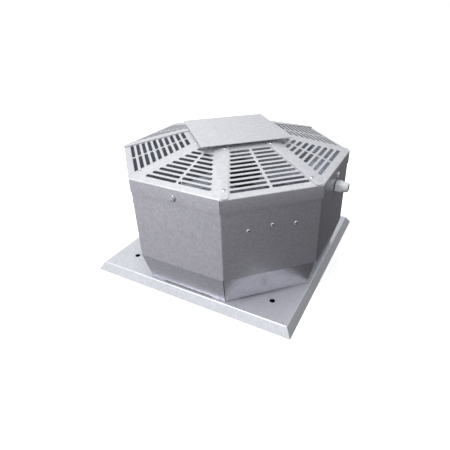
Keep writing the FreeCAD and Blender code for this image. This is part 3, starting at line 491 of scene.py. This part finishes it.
lapped = Panel(OPENING_FLAT, OPENING_HALF, 1.0)
plain = Panel(DIAGONAL_FLAT, DIAGONAL_HALF, 0.0)
kinds = ((CARDINALS, lapped, LAPPED_FIRST, LAPPED_MARGIN, True),
         (DIAGONALS, plain, PLAIN_FIRST, PLAIN_MARGIN, False))
for names, kind, first, margin, flaps in kinds:
    for side, angle in names.items():
        bm = panel_mesh(kind, first, margin, flaps)
        turn(bm, angle)
        made = piece("panel_" + side, bm, cap_zinc, stands_for=["grille_" + side])
        panel_finishes(made)
        print(made.name, len(made.data.polygons), "faces")

# %% [markdown]
# The cover plate is a flat sheet turned so that its corners point to the front, back and
# sides. Its corners are slightly rounded and its edges are deburred, which takes two small
# bevels. The bridge under it keeps its CAD shape.

# %% Cover plate
bm = bmesh.new()
bmesh.ops.create_cube(bm, size=1.0)
plate_side = PLATE_REACH * math.sqrt(2)
bmesh.ops.scale(bm, vec=(plate_side, plate_side, PLATE_HIGH - PLATE_LOW), verts=bm.verts)
upright = [e for e in bm.edges if abs(e.verts[0].co.z - e.verts[1].co.z) > MM]
soften(bm, upright, 1.5 * MM, 3)
right_angled = [e for e in bm.edges if abs(e.calc_face_angle(0.0)) > 1.0]
soften(bm, right_angled, 0.25 * MM)
turn(bm, 45)
bmesh.ops.translate(bm, vec=(0, 0, (PLATE_LOW + PLATE_HIGH) / 2), verts=bm.verts)
cover = piece("cover_plate", bm, cap_zinc, stands_for=["top_plate"])
print(cover.name, len(cover.data.polygons), "faces")

# %% [markdown]
# A blind rivet is a domed head with a small pit, where its pin broke off. A profile spun
# about its axis gives the dome, and the pit's faces are painted near black as the shade in
# the hollow. One rivet is made once and copied to every place, so it has only a few dozen faces.

# %% Rivets
RIVET_PROFILE = ((0.0, 0.4), (1.3, 0.4), (1.5, 1.2), (1.8, 1.4),
                 (2.7, 1.2), (3.6, 0.7), (4.0, 0.2), (4.0, 0.0))      # radius and height in mm
PIT = 1.55                     # radius in mm inside which the pit is painted near black as shade
FLAP_RIVET_LOW = 203.0 * MM    # from the shaft, square to the plain panel
FLAP_RIVET_HIGH = DIAGONAL_FLAT + 7.1 * MM
FLAP_RIVET_IN = 7.0 * MM       # from the ridge
FLAP_FACE = SHEET * 1.03       # how high the flap's outer face is over the line of the slope
WALL_RIVETS = ((-44.5, 0.0), (0.0, 4.3), (44.5, 0.0))                  # across and up in mm
WALL_RIVET_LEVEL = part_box("support_arm_front_left")[0].z + 19.85 * MM
PLATE_RIVET_X, PLATE_RIVET_Y = 40.0 * MM, 15.0 * MM
PLATE_RIVET_SCALE = 0.6


def spun(points, steps):
    """A mesh spun about its axis from (radius, height) points in metres."""
    bm = bmesh.new()
    verts = [bm.verts.new((r, 0, z)) for r, z in points]
    edges = [bm.edges.new(pair) for pair in zip(verts, verts[1:])]
    bmesh.ops.spin(bm, geom=verts + edges, axis=(0, 0, 1), cent=(0, 0, 0), dvec=(0, 0, 0), angle=math.tau,
                   steps=steps, use_merge=True, use_normal_flip=False, use_duplicate=False)
    bmesh.ops.remove_doubles(bm, verts=bm.verts, dist=0.001 * MM)
    bmesh.ops.recalc_face_normals(bm, faces=bm.faces)
    return bm


def closed_ring(points, steps):
    """A closed profile spun into a ring."""
    return spun(list(points) + [points[0]], steps)


def rivets(name, matrices, stands_for, scale=1.0):
    """One piece of as many rivets as there are matrices."""
    points = [(r * MM * scale, z * MM * scale) for r, z in RIVET_PROFILE]
    head = spun(points, 16)
    # The pit's faces take the near-black finish, painted shade.
    for face in head.faces:
        middle = face.calc_center_median()
        face.material_index = int(middle.to_2d().length < PIT * MM * scale and middle.z > 0.1 * MM)
    made = piece(name, copies(head, matrices), rivet_steel, stands_for=stands_for,
                 sharp=50.0)
    made.data.materials.append(painted_pit_shade)
    print(name, len(matrices), "rivets")


flap_rivets = []
for r in (FLAP_RIVET_LOW, FLAP_RIVET_HIGH):
    share = (CAP_FLAT - r) / (CAP_FLAT - DIAGONAL_FLAT)
    t = FLAP_RIVET_IN - (RIM_HALF + (DIAGONAL_HALF - RIM_HALF) * share)
    c = math.sqrt(0.5)
    place = Vector((r * c - t * c, r * c + t * c, RIM + RISE * share + FLAP_FACE))
    for angle in CARDINALS.values():
        for side in (1, -1):
            mirrored = Vector((place.x, side * place.y, place.z))
            flap_rivets.append(around(angle) @ facing(mirrored, next_panel_normal(side)))
rivets("flap_rivets", flap_rivets, ["grille_rivets"])

wall_rivets = []
for angle in DIAGONALS.values():
    for across, up in WALL_RIVETS:
        place = Vector((CASING_FLAT, across * MM, WALL_RIVET_LEVEL + up * MM))
        wall_rivets.append(around(angle) @ facing(place, (1, 0, 0)))
rivets("arm_wall_rivets", wall_rivets, ["arm_rivets"])

plate_rivets = []
for side in (-1, 1):
    place = Matrix.Translation((side * PLATE_RIVET_X, PLATE_RIVET_Y, PLATE_HIGH))
    plate_rivets.append(around(45) @ place)
rivets("plate_rivets", plate_rivets, ["top_plate_rivets"], scale=PLATE_RIVET_SCALE)

# %% [markdown]
# The cap is held by four hexagon screws with a washer face. A hexagon is a cylinder of six
# segments; the chamfer that a real head has on top comes from cutting its corners with a
# cone, which a bevel of the top edges stands in for well enough at this size.

# %% Cap screws
def hexagon(flats, z0, z1, chamfer):
    """A hexagonal block from z0 to z1, with its top edges bevelled."""
    bm = bmesh.new()
    radius = flats / 2 / math.cos(math.pi / 6)
    bmesh.ops.create_cone(bm, cap_ends=True, segments=6, radius1=radius, radius2=radius, depth=z1 - z0)
    bmesh.ops.translate(bm, vec=(0, 0, (z0 + z1) / 2), verts=bm.verts)
    top = [e for e in bm.edges if min(v.co.z for v in e.verts) > z1 - 0.01 * MM]
    soften(bm, top, chamfer)
    return bm


def merged(meshes):
    """One mesh from several."""
    whole = bmesh.new()
    for bm in meshes:
        mesh = bpy.data.meshes.new("part")
        bm.to_mesh(mesh)
        bm.free()
        whole.from_mesh(mesh)
        bpy.data.meshes.remove(mesh)
    return whole


screw_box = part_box("cap_screws")
SCREW_Z = (screw_box[0].z + screw_box[1].z) / 2
HEAD_FLATS, HEAD_HEIGHT, HEAD_CHAMFER = 10.0 * MM, 4.0 * MM, 0.45 * MM
FACE_HEIGHT = 0.8 * MM
THREAD_R, THREAD_TIP_R, THREAD_END = 3.0 * MM, 2.4 * MM, 11.0 * MM
head = hexagon(HEAD_FLATS, FACE_HEIGHT, HEAD_HEIGHT, HEAD_CHAMFER)
washer_face = spun([(0, 0), (6.2 * MM, 0), (6.4 * MM, 0.3 * MM),
                    (6.0 * MM, FACE_HEIGHT), (0, FACE_HEIGHT)], 24)
thread = spun([(0, -THREAD_END), (THREAD_TIP_R, -THREAD_END), (THREAD_R, -10.2 * MM),
               (THREAD_R, 0), (0, 0)], 16)
places = [around(angle) @ facing((CAP_FLAT, 0, SCREW_Z), (1, 0, 0)) for angle in CARDINALS.values()]
screws = piece("cap_hex_screws", copies(merged([head, washer_face, thread]), places), screw_zinc,
               stands_for=["cap_screws"])
print(screws.name, len(screws.data.polygons), "faces")

# %% [markdown]
# The casing is two sheets, each folded into four walls with a small corner radius. Below the
# walls, every side has its own tab that leans inward and ends in a foot on the base, with a
# drain notch cut out of it. The outline is laid out once in plan, laced between two levels,
# and each tab hangs from the lower edge of its wall.

# %% Casing
CASING_CORNER = 4.0 * MM
SKIRT_BEND = 64.5 * MM
SHELL_LOW = SKIRT_BEND + 2.0 * MM
SKIRT_FLAT = CASING_FLAT - 15.3 * MM
TAB_GAP = 0.8 * MM / math.cos(math.radians(22.5))
DRAIN_HALF, DRAIN_TOP = 55.0 * MM, BASE_TOP + 3.0 * MM
FOOT = 14.0 * MM
SEAM_LIP = 14.0 * MM
TAB_BEND, FOOT_BEND = 4.0 * MM, 2.0 * MM


def plan(angle, x, y):
    """Plan point of (x, y) after a turn about the shaft."""
    a = math.radians(angle)
    return (x * math.cos(a) - y * math.sin(a), x * math.sin(a) + y * math.cos(a))


def wall_outline(first):
    """Plan points of one half, and for each wall the pair of indexes of its flat."""
    flat_half = TAN * (CASING_FLAT - CASING_CORNER)
    apex = CASING_FLAT / math.cos(math.radians(22.5))

    def corner_point(angle, degrees, y):
        a = math.radians(degrees)
        x = CASING_FLAT - CASING_CORNER + CASING_CORNER * math.cos(a)
        return plan(angle, x, y + CASING_CORNER * math.sin(a))

    points = [plan(first - 22.5, apex - SEAM_LIP, 0)]
    flats = []
    for i in range(4):
        angle = first + 45 * i
        before = (-22.5, -11.25) if i == 0 else ()
        after = (11.25, 22.5) if i == 3 else (11.25, 22.5, 33.75)
        points += [corner_point(angle, degrees, -flat_half) for degrees in before]
        flats.append((len(points), len(points) + 1))
        points += [plan(angle, CASING_FLAT, -flat_half), plan(angle, CASING_FLAT, flat_half)]
        points += [corner_point(angle, degrees, flat_half) for degrees in after]
    points.append(plan(first + 157.5, apex - SEAM_LIP, 0))
    return points, flats


def tab(bm, angle, left, right):
    """The leaning tab under one wall, from the two lower corners of the wall's flat."""
    corner, foot = Vector((CASING_FLAT, SKIRT_BEND)), Vector((SKIRT_FLAT, BASE_TOP))
    end = Vector((SKIRT_FLAT - FOOT, BASE_TOP))
    upper = bend(corner, Vector((CASING_FLAT, SHELL_LOW)), foot, TAB_BEND, 3)
    lower = bend(foot, corner, end, FOOT_BEND, 3) + [end]
    share = (DRAIN_TOP - foot.y) / (corner.y - foot.y)
    notch = foot + (corner - foot) * share

    def across(p, ys):
        return [bm.verts.new((*plan(angle, p.x, y), p.y)) for y in ys]

    def reach(p):
        return TAN * p.x - TAB_GAP

    rows = [[left, right]] + [across(p, (-reach(p), reach(p))) for p in upper]
    lace(bm, rows)
    split = [across(p, (-reach(p), -DRAIN_HALF, DRAIN_HALF, reach(p))) for p in [notch] + lower]
    last = rows[-1]
    bm.faces.new((last[0], last[1], split[0][3], split[0][2], split[0][1], split[0][0]))
    for a, b in zip(split, split[1:]):
        for i in (0, 2):
            bm.faces.new((a[i], a[i + 1], b[i + 1], b[i]))


def casing_sheet(first):
    bm = bmesh.new()
    points, flats = wall_outline(first)
    low = [bm.verts.new((x, y, SHELL_LOW)) for x, y in points]
    high = [bm.verts.new((x, y, CASING_TOP)) for x, y in points]
    lace(bm, [low, high])
    for i, (a, b) in enumerate(flats):
        tab(bm, first + 45 * i, low[a], low[b])
    return thicken(bm, SHEET, Vector((0, 0, CASING_TOP / 2)))


FIRST_WALLS = {"front": 225, "rear": 45}
for name, first in FIRST_WALLS.items():
    # The walls take the darker zinc, painted shade for their upright faces.
    made = piece("casing_sheet_" + name, casing_sheet(first), upright_shaded_zinc,
                 stands_for=["casing_" + name], sharp=24.0)
    made.data.materials.append(inner_zinc)
    for face in made.data.polygons:
        face.material_index = int(face.normal.xy.dot(face.center.xy) < 0)
    print(made.name, len(made.data.polygons), "faces")

# %% [markdown]
# The base is one square sheet with its edges folded down and mitred. Its top has the round
# inlet hole and four fixing holes, which are loops for triangle_fill, as the slots are.

# %% Base plate
BASE_SHEET = 1.5 * MM
BASE_FOLD = BASE_EDGE - 10.8 * MM
BASE_BEND = 3.0 * MM
FLANGE_FOOT = BASE_LOW + 0.83 * MM     # the sloping sheet's own thickness reaches the rest of the way
MITRE_GAP = 0.57 * MM
MOUNT_PLACE = BASE_EDGE - 60.0 * MM
MOUNT_HOLE = 5.5 * MM
RING_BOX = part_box("inlet_ring")
INLET_HOLE = RING_BOX[1].x - 14.0 * MM


def circle_loop(bm, x, y, z, radius, count):
    made = bmesh.ops.create_circle(bm, segments=count, radius=radius)
    bmesh.ops.translate(bm, vec=(x, y, z), verts=made["verts"])
    return list({e for v in made["verts"] for e in v.link_edges})


bm = bmesh.new()
flange_end = Vector((BASE_EDGE, FLANGE_FOOT))
fold = bend(Vector((BASE_FOLD, BASE_TOP)), Vector((0, BASE_TOP)), flange_end, BASE_BEND, 5)
start = fold[0].x
corners = [bm.verts.new((x * start, y * start, BASE_TOP)) for x, y in ((1, -1), (1, 1), (-1, 1), (-1, -1))]
edges = loop_edges(bm, corners)
edges += circle_loop(bm, 0, 0, BASE_TOP, INLET_HOLE, 96)
for x in (-MOUNT_PLACE, MOUNT_PLACE):
    for y in (-MOUNT_PLACE, MOUNT_PLACE):
        edges += circle_loop(bm, x, y, BASE_TOP, MOUNT_HOLE, 32)
bmesh.ops.triangle_fill(bm, use_beauty=True, use_dissolve=False, edges=edges)
for i in range(4):
    rows = [[corners[i], corners[(i + 1) % 4]]]
    for p in fold[1:] + [flange_end]:
        half = p.x - MITRE_GAP
        rows.append([bm.verts.new((*plan(90 * i, p.x, y), p.y)) for y in (-half, half)])
    lace(bm, rows)
base = piece("base_sheet", thicken(bm, BASE_SHEET, Vector((0, 0, -0.2))), base_zinc,
             stands_for=["base_plate"], sharp=24.0)
print(base.name, len(base.data.polygons), "faces")

# %% [markdown]
# The cable gland is moulded: a hexagon against the wall, a dome nut with a rounded shoulder,
# and the rubber seal in its mouth. The parts are made upright on +Z and laid along +X.

# %% Cable gland
gland_z = (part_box("gland_seal")[0].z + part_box("gland_seal")[1].z) / 2
along_x = facing((0, 0, gland_z), (1, 0, 0))


def gland_piece(name, bm, material, node):
    bmesh.ops.transform(bm, matrix=along_x, verts=bm.verts)
    return piece(name, bm, material, stands_for=[node], sharp=40.0)


body_x, dome_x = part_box("gland_body"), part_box("gland_dome_nut")
washer_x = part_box("gland_washer")
GLAND_FLATS = 22.0 * MM
BORE, TAIL_R = 5.0 * MM, 8.0 * MM
MOUTH_R, SEAL_BORE = 6.5 * MM, 4.0 * MM
NUT_HEX = 12.0 * MM            # from the dome's mouth back to the end of its hexagon
tail_end, seat, split, shoulder = body_x[0].x, washer_x[1].x, dome_x[0].x, dome_x[1].x - NUT_HEX
body = hexagon(GLAND_FLATS, seat, split, 0.8 * MM)
tail = closed_ring([(BORE, tail_end), (7.6 * MM, tail_end), (TAIL_R, tail_end + 0.6 * MM),
                    (TAIL_R, seat), (BORE, seat)], 32)
gland_piece("gland_body_moulding", merged([body, tail]), gland_plastic, "gland_body")

dome_hex = hexagon(GLAND_FLATS, split + 0.2 * MM, shoulder, 0.6 * MM)
dome = [(MOUTH_R, shoulder - 0.5 * MM), (10.6 * MM, shoulder - 0.5 * MM)]
for i in range(7):
    a = math.radians(15 * i)
    dome.append((7.4 * MM + 3.2 * MM * math.cos(a), shoulder + 2.0 * MM + 9.8 * MM * math.sin(a)))
dome.append((MOUTH_R, shoulder + 11.6 * MM))
dome_nut = merged([dome_hex, closed_ring(dome, 48)])
gland_piece("gland_dome", dome_nut, gland_plastic, "gland_dome_nut")

seal = closed_ring([(SEAL_BORE, shoulder), (6.45 * MM, shoulder), (6.45 * MM, shoulder + 11.0 * MM),
                    (5.4 * MM, shoulder + 11.6 * MM), (4.4 * MM, shoulder + 10.8 * MM),
                    (SEAL_BORE, shoulder + 10.0 * MM)], 40)
gland_piece("gland_seal_ring", seal, black_rubber, "gland_seal")
WASHER_IN, WASHER_OUT = 8.1 * MM, 10.8 * MM
washer = closed_ring([(WASHER_IN, washer_x[0].x), (WASHER_OUT, washer_x[0].x),
                      (WASHER_OUT, seat), (WASHER_IN, seat)], 40)
gland_piece("gland_flat_washer", washer, black_rubber, "gland_washer")
print("gland: 4 pieces")

# %% [markdown]
# The bellmouth under the impeller is spun from sheet: a flat flange, a quarter round and a
# short throat. Its profile is a closed outline with true arcs, spun in many steps, so that
# it takes smooth reflections where the CAD node has narrow flats.

# %% Inlet ring
def arc(centre, radius, first, last, steps):
    """Points of an arc between two angles in degrees."""
    angles = [math.radians(first + (last - first) * i / steps) for i in range(steps + 1)]
    return [(centre[0] + radius * math.cos(a), centre[1] + radius * math.sin(a)) for a in angles]


WALL = 1.2 * MM
THROAT, THROAT_LENGTH = 80.3 * MM, 11.0 * MM
ring_top = RING_BOX[1].z
curve = ring_top - BASE_TOP - THROAT_LENGTH
centre = (THROAT + curve, BASE_TOP + curve)
outline = [(THROAT, ring_top)] + arc(centre, curve, 180, 270, 12)
outline += [(RING_BOX[1].x, BASE_TOP), (RING_BOX[1].x, BASE_TOP + WALL)]
outline += arc(centre, curve - WALL, 270, 180, 12) + [(THROAT + WALL, ring_top)]
ring = piece("inlet_bellmouth", closed_ring(outline, 96), inner_zinc,
             stands_for=["inlet_ring"])
print(ring.name, len(ring.data.polygons), "faces")

# %% [markdown]
# The impeller is a flared front ring, a flat rear disc and seven backward-curved blades. A
# blade is a strip of rows along its arc: each row stands on the ring's inner surface and
# ends under the disc, so its foot follows the flare.

# %% Impeller
EYE = 84.0 * MM
WHEEL = 125.0 * MM
HUB = 53.0 * MM
FLARE = 16.0 * MM
EYE_LIP = 6.0 * MM
DISC = 1.5 * MM
RING_SLOPE = math.radians(20)
BLADES = 7
disc_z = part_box("impeller_back_plate")[0].z
eye_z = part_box("impeller_shroud")[0].z
flare_centre = (EYE + FLARE, eye_z + EYE_LIP)
flow = [(EYE, eye_z)] + arc(flare_centre, FLARE, 180, 110, 10)
rim_z = flow[-1][1] + (WHEEL - flow[-1][0]) * math.tan(RING_SLOPE)
inside = arc(flare_centre, FLARE - WALL, 110, 180, 10)
shroud = flow + [(WHEEL, rim_z), (WHEEL, rim_z - WALL / math.cos(RING_SLOPE))] + inside
shroud.append((EYE + WALL, eye_z))
piece("impeller_front_ring", closed_ring(shroud, 112), inner_zinc, "rotor",
      ["impeller_shroud"])
disc = closed_ring([(HUB, disc_z), (WHEEL, disc_z), (WHEEL, disc_z + DISC), (HUB, disc_z + DISC)], 112)
piece("impeller_rear_disc", disc, inner_zinc, "rotor", ["impeller_back_plate"])

# A blade's arc runs from one radius to another, turned through an angle and bowed off its chord.
BLADE_FROM, BLADE_TO, BLADE_TURN, BLADE_BOW = 62.0 * MM, 129.0 * MM, math.radians(52), 9.0 * MM
BLADE_ROWS = 28
BLADE_IN, BLADE_OUT = 66.0 * MM, 124.5 * MM      # the part of that arc which is cut from sheet
NOSE = 86.2 * MM                                 # inside this radius the lower edge rises to the disc


def shroud_level(r):
    """Height of the front ring's inner surface at a radius."""
    if r >= flow[-1][0]:
        return flow[-1][1] + (r - flow[-1][0]) * math.tan(RING_SLOPE)
    lean = min(1.0, max(-1.0, (r - flare_centre[0]) / FLARE))
    return flare_centre[1] + FLARE * math.sin(math.acos(lean))


def blade_mesh():
    bm = bmesh.new()
    first, last = Vector((BLADE_FROM, 0)), Vector((BLADE_TO, 0))
    last.rotate(Matrix.Rotation(BLADE_TURN, 2))
    chord = last - first
    radius = (chord.length**2 / 4 + BLADE_BOW**2) / (2 * BLADE_BOW)
    across = Vector((chord.y, -chord.x)).normalized()
    middle = (first + last) / 2 - across * (radius - BLADE_BOW)
    half = math.asin(chord.length / 2 / radius)
    rows = []
    for i in range(BLADE_ROWS + 1):
        turned = across.copy()
        turned.rotate(Matrix.Rotation(half * (2 * i / BLADE_ROWS - 1), 2))
        p = middle + turned * radius
        r = p.length
        if not BLADE_IN <= r <= BLADE_OUT:
            continue
        level = shroud_level(r)
        if r < NOSE:
            share = (r - BLADE_IN) / (NOSE - BLADE_IN)
            level = disc_z + (shroud_level(NOSE) - disc_z) * share
        if disc_z - level > 0.5 * MM:
            rows.append([bm.verts.new((p.x, p.y, level)), bm.verts.new((p.x, p.y, disc_z))])
    lace(bm, rows)
    bmesh.ops.recalc_face_normals(bm, faces=bm.faces)
    bmesh.ops.solidify(bm, geom=bm.faces[:], thickness=DISC)
    return bm


for i in range(BLADES):
    bm = blade_mesh()
    turn(bm, 360 / BLADES * i)
    number = "blade_%d" % (i + 1)
    piece(number, bm, inner_zinc, "rotor", ["impeller_" + number])
print("impeller:", BLADES + 2, "pieces")

# %% [markdown]
# The motor's turning cup hangs below the rear disc, with six screws through its ring. Only
# its outside shows, up through the bellmouth, so it is spun from one profile.

# %% Rotor cup and its screws
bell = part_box("rotor_bell")
low_z, high_z = bell[0].z, bell[1].z
ROUND = 5.0 * MM               # radius between the cup's floor and its side
CUP_FLOOR, CUP_WALL = 3.0 * MM, 2.5 * MM
FLOOR_HOLE = 6.2 * MM
RING_REACH, RING_SHEET = 9.0 * MM, 3.0 * MM
SCREWS = 6
ring_z = disc_z + DISC
ring_high = ring_z + RING_SHEET
cup = [(FLOOR_HOLE, low_z), (HUB - ROUND, low_z)]
cup += arc((HUB - ROUND, low_z + ROUND), ROUND, 270, 360, 5)[1:]
cup += [(HUB, ring_z), (HUB + RING_REACH, ring_z), (HUB + RING_REACH, ring_high), (HUB, ring_high)]
cup += [(HUB, high_z), (HUB - CUP_WALL, high_z), (HUB - CUP_WALL, low_z + CUP_FLOOR)]
cup += [(FLOOR_HOLE, low_z + CUP_FLOOR)]
piece("rotor_cup", closed_ring(cup, 96), black_casting, "rotor", ["rotor_bell"])
one = hexagon(7.0 * MM, 0, 2.8 * MM, 0.4 * MM)
screw_place = Matrix.Translation((HUB + 4.8 * MM, 0, ring_high))
places = [around(360 / SCREWS * i + 20) @ screw_place for i in range(SCREWS)]
piece("impeller_screws", copies(one, places), screw_zinc, "rotor")
print("rotor cup with", len(places), "screws")

# %% [markdown]
# The pieces inside that keep their CAD shape only need their finish: the arms and the plate
# that carry the motor, the terminal box, the bearings, the windings and the shaft.

# %% Finishes of the nodes that stay
BEARINGS = [a + "_bearing_" + b for a in ("upper", "lower") for b in ("inner", "outer")]
FINISHES = {
    inner_zinc: ["motor_plate", "top_plate_bridge"] + ["support_arm_" + side for side in DIAGONALS],
    screw_zinc: ["cap_weld_nuts"],
    black_casting: ["stator_flange"],
    core_steel: ["stator_core", "rotor_core"],
    coil_copper: ["stator_windings"],
    ground_steel: ["motor_shaft"] + BEARINGS,
    black_plastic: ["terminal_box", "terminal_box_lid"],
    pale_plastic: ["terminal_block", "run_capacitor"],
    gland_plastic: ["gland_locknut"],
    black_rubber: ["motor_lead"],
}
for material, names in FINISHES.items():
    for name in names:
        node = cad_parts[name]
        node.data.materials.clear()
        node.data.materials.append(material)
finished = sum(FINISHES.values(), [])
bare = [name for name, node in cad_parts.items() if not node.hide_render and name not in finished]
print("nodes with a CAD finish left:", bare)

# %% [markdown]
# The camera stands at the front right and a little above, about 0.86 m off, so near and far
# edges differ clearly in length. The shifts move the picture without turning the camera.

# %% Camera
AZIMUTH, ELEVATION = math.radians(26.28), math.radians(28.91)
TARGET = Vector((35.8, 0.0, 91.2)) * MM
DISTANCE = 857.0
camera_data = bpy.data.cameras.new("camera")
camera_data.lens = 30.07
camera_data.sensor_width = 36.0
camera_data.shift_x = -0.0556
camera_data.shift_y = -0.0378
camera = bpy.data.objects.new("camera", camera_data)
bpy.context.scene.collection.objects.link(camera)
level = math.cos(ELEVATION)
back = Vector((math.sin(AZIMUTH) * level, -math.cos(AZIMUTH) * level, math.sin(ELEVATION)))
camera.rotation_mode = "QUATERNION"
camera.location = TARGET + back * DISTANCE * MM
camera.rotation_quaternion = (-back).to_track_quat("-Z", "Y")
bpy.context.scene.camera = camera
print("camera at", [round(v, 3) for v in camera.location])

# %% [markdown]
# The fan stands on a plain white floor. A bright floor would throw its own light up on the
# walls, which should go from middle grey at the front to dark at the right, so the floor is
# seen by the camera but lights nothing. A black patch under the base is painted shade, so the
# fixing holes and the inlet show dark. The light is soft: a sky that is
# bright above and towards the front left and falls off to the right, and one broad sun from
# the front left for the shadows under the cover plate and behind the ribs. The camera itself
# sees a plain white sky.

# %% Floor, world and lights
def ground(name, half, drop, material):
    """A flat square, half as wide as said, a little below the base."""
    bm = bmesh.new()
    bmesh.ops.create_grid(bm, x_segments=1, y_segments=1, size=half)
    bmesh.ops.translate(bm, vec=(0, 0, BASE_LOW - drop), verts=bm.verts)
    mesh = bpy.data.meshes.new(name)
    bm.to_mesh(mesh)
    bm.free()
    mesh.materials.append(material)
    made = bpy.data.objects.new(name, mesh)
    bpy.context.scene.collection.objects.link(made)
    return made


floor_finish = textured("studio_floor", (0.90, 0.90, 0.90), 0.02, 3.0, 0.0, 0.9, 0.0, 0.05)
floor_surface = floor_finish.node_tree.nodes["Principled BSDF"]
floor_surface.inputs["Emission Color"].default_value = (1.0, 1.0, 1.0, 1.0)
floor_surface.inputs["Emission Strength"].default_value = 0.45
floor_surface.inputs["Specular IOR Level"].default_value = 0.0
studio_floor = ground("floor", 30.0, 0.2 * MM, floor_finish)
studio_floor.visible_diffuse = False
studio_floor.visible_glossy = False

# A black square just under the base: painted shade seen through the holes and the inlet.
painted_shade_patch = ground("painted_shade_under_fan", BASE_EDGE - 4.0 * MM, 0.1 * MM, black_rubber)

SKY_FROM = Vector((-0.47, -0.31, 0.83))
SKY_DARK, SKY_BRIGHT = 0.04, 0.98
SUN_TOWARDS = Vector((0.40, 0.52, -1.25))
world = bpy.data.worlds.new("studio")
bpy.context.scene.world = world
world.use_nodes = True
sky = world.node_tree
direction = sky.nodes.new("ShaderNodeTexCoord").outputs["Generated"]
facing_key = sky.nodes.new("ShaderNodeVectorMath")
facing_key.operation = "DOT_PRODUCT"
facing_key.inputs[1].default_value = SKY_FROM
sky.links.new(direction, facing_key.inputs[0])
grade = sky.nodes.new("ShaderNodeMapRange")
for socket, value in (("From Min", -0.85), ("From Max", 0.45), ("To Min", SKY_DARK), ("To Max", SKY_BRIGHT)):
    grade.inputs[socket].default_value = value
sky.links.new(facing_key.outputs["Value"], grade.inputs["Value"])
light = sky.nodes["Background"]
sky.links.new(grade.outputs["Result"], light.inputs["Strength"])
light.inputs["Color"].default_value = (0.97, 0.98, 1.0, 1.0)
seen = sky.nodes.new("ShaderNodeBackground")
seen.inputs["Color"].default_value = (1.0, 1.0, 1.0, 1.0)
swap = sky.nodes.new("ShaderNodeMixShader")
sky.links.new(sky.nodes.new("ShaderNodeLightPath").outputs["Is Camera Ray"], swap.inputs["Fac"])
sky.links.new(light.outputs["Background"], swap.inputs[1])
sky.links.new(seen.outputs["Background"], swap.inputs[2])
sky.links.new(swap.outputs["Shader"], sky.nodes["World Output"].inputs["Surface"])
bpy.context.scene.view_settings.view_transform = "Standard"

sun_data = bpy.data.lights.new("sun", "SUN")
sun_data.energy = 1.5
sun_data.angle = math.radians(24)
sun_data.specular_factor = 0.4
sun = bpy.data.objects.new("sun", sun_data)
bpy.context.scene.collection.objects.link(sun)
sun.rotation_mode = "QUATERNION"
sun.rotation_quaternion = SUN_TOWARDS.to_track_quat("-Z", "Y")
print("sun of", sun_data.energy, "W/m2 and a graded sky")
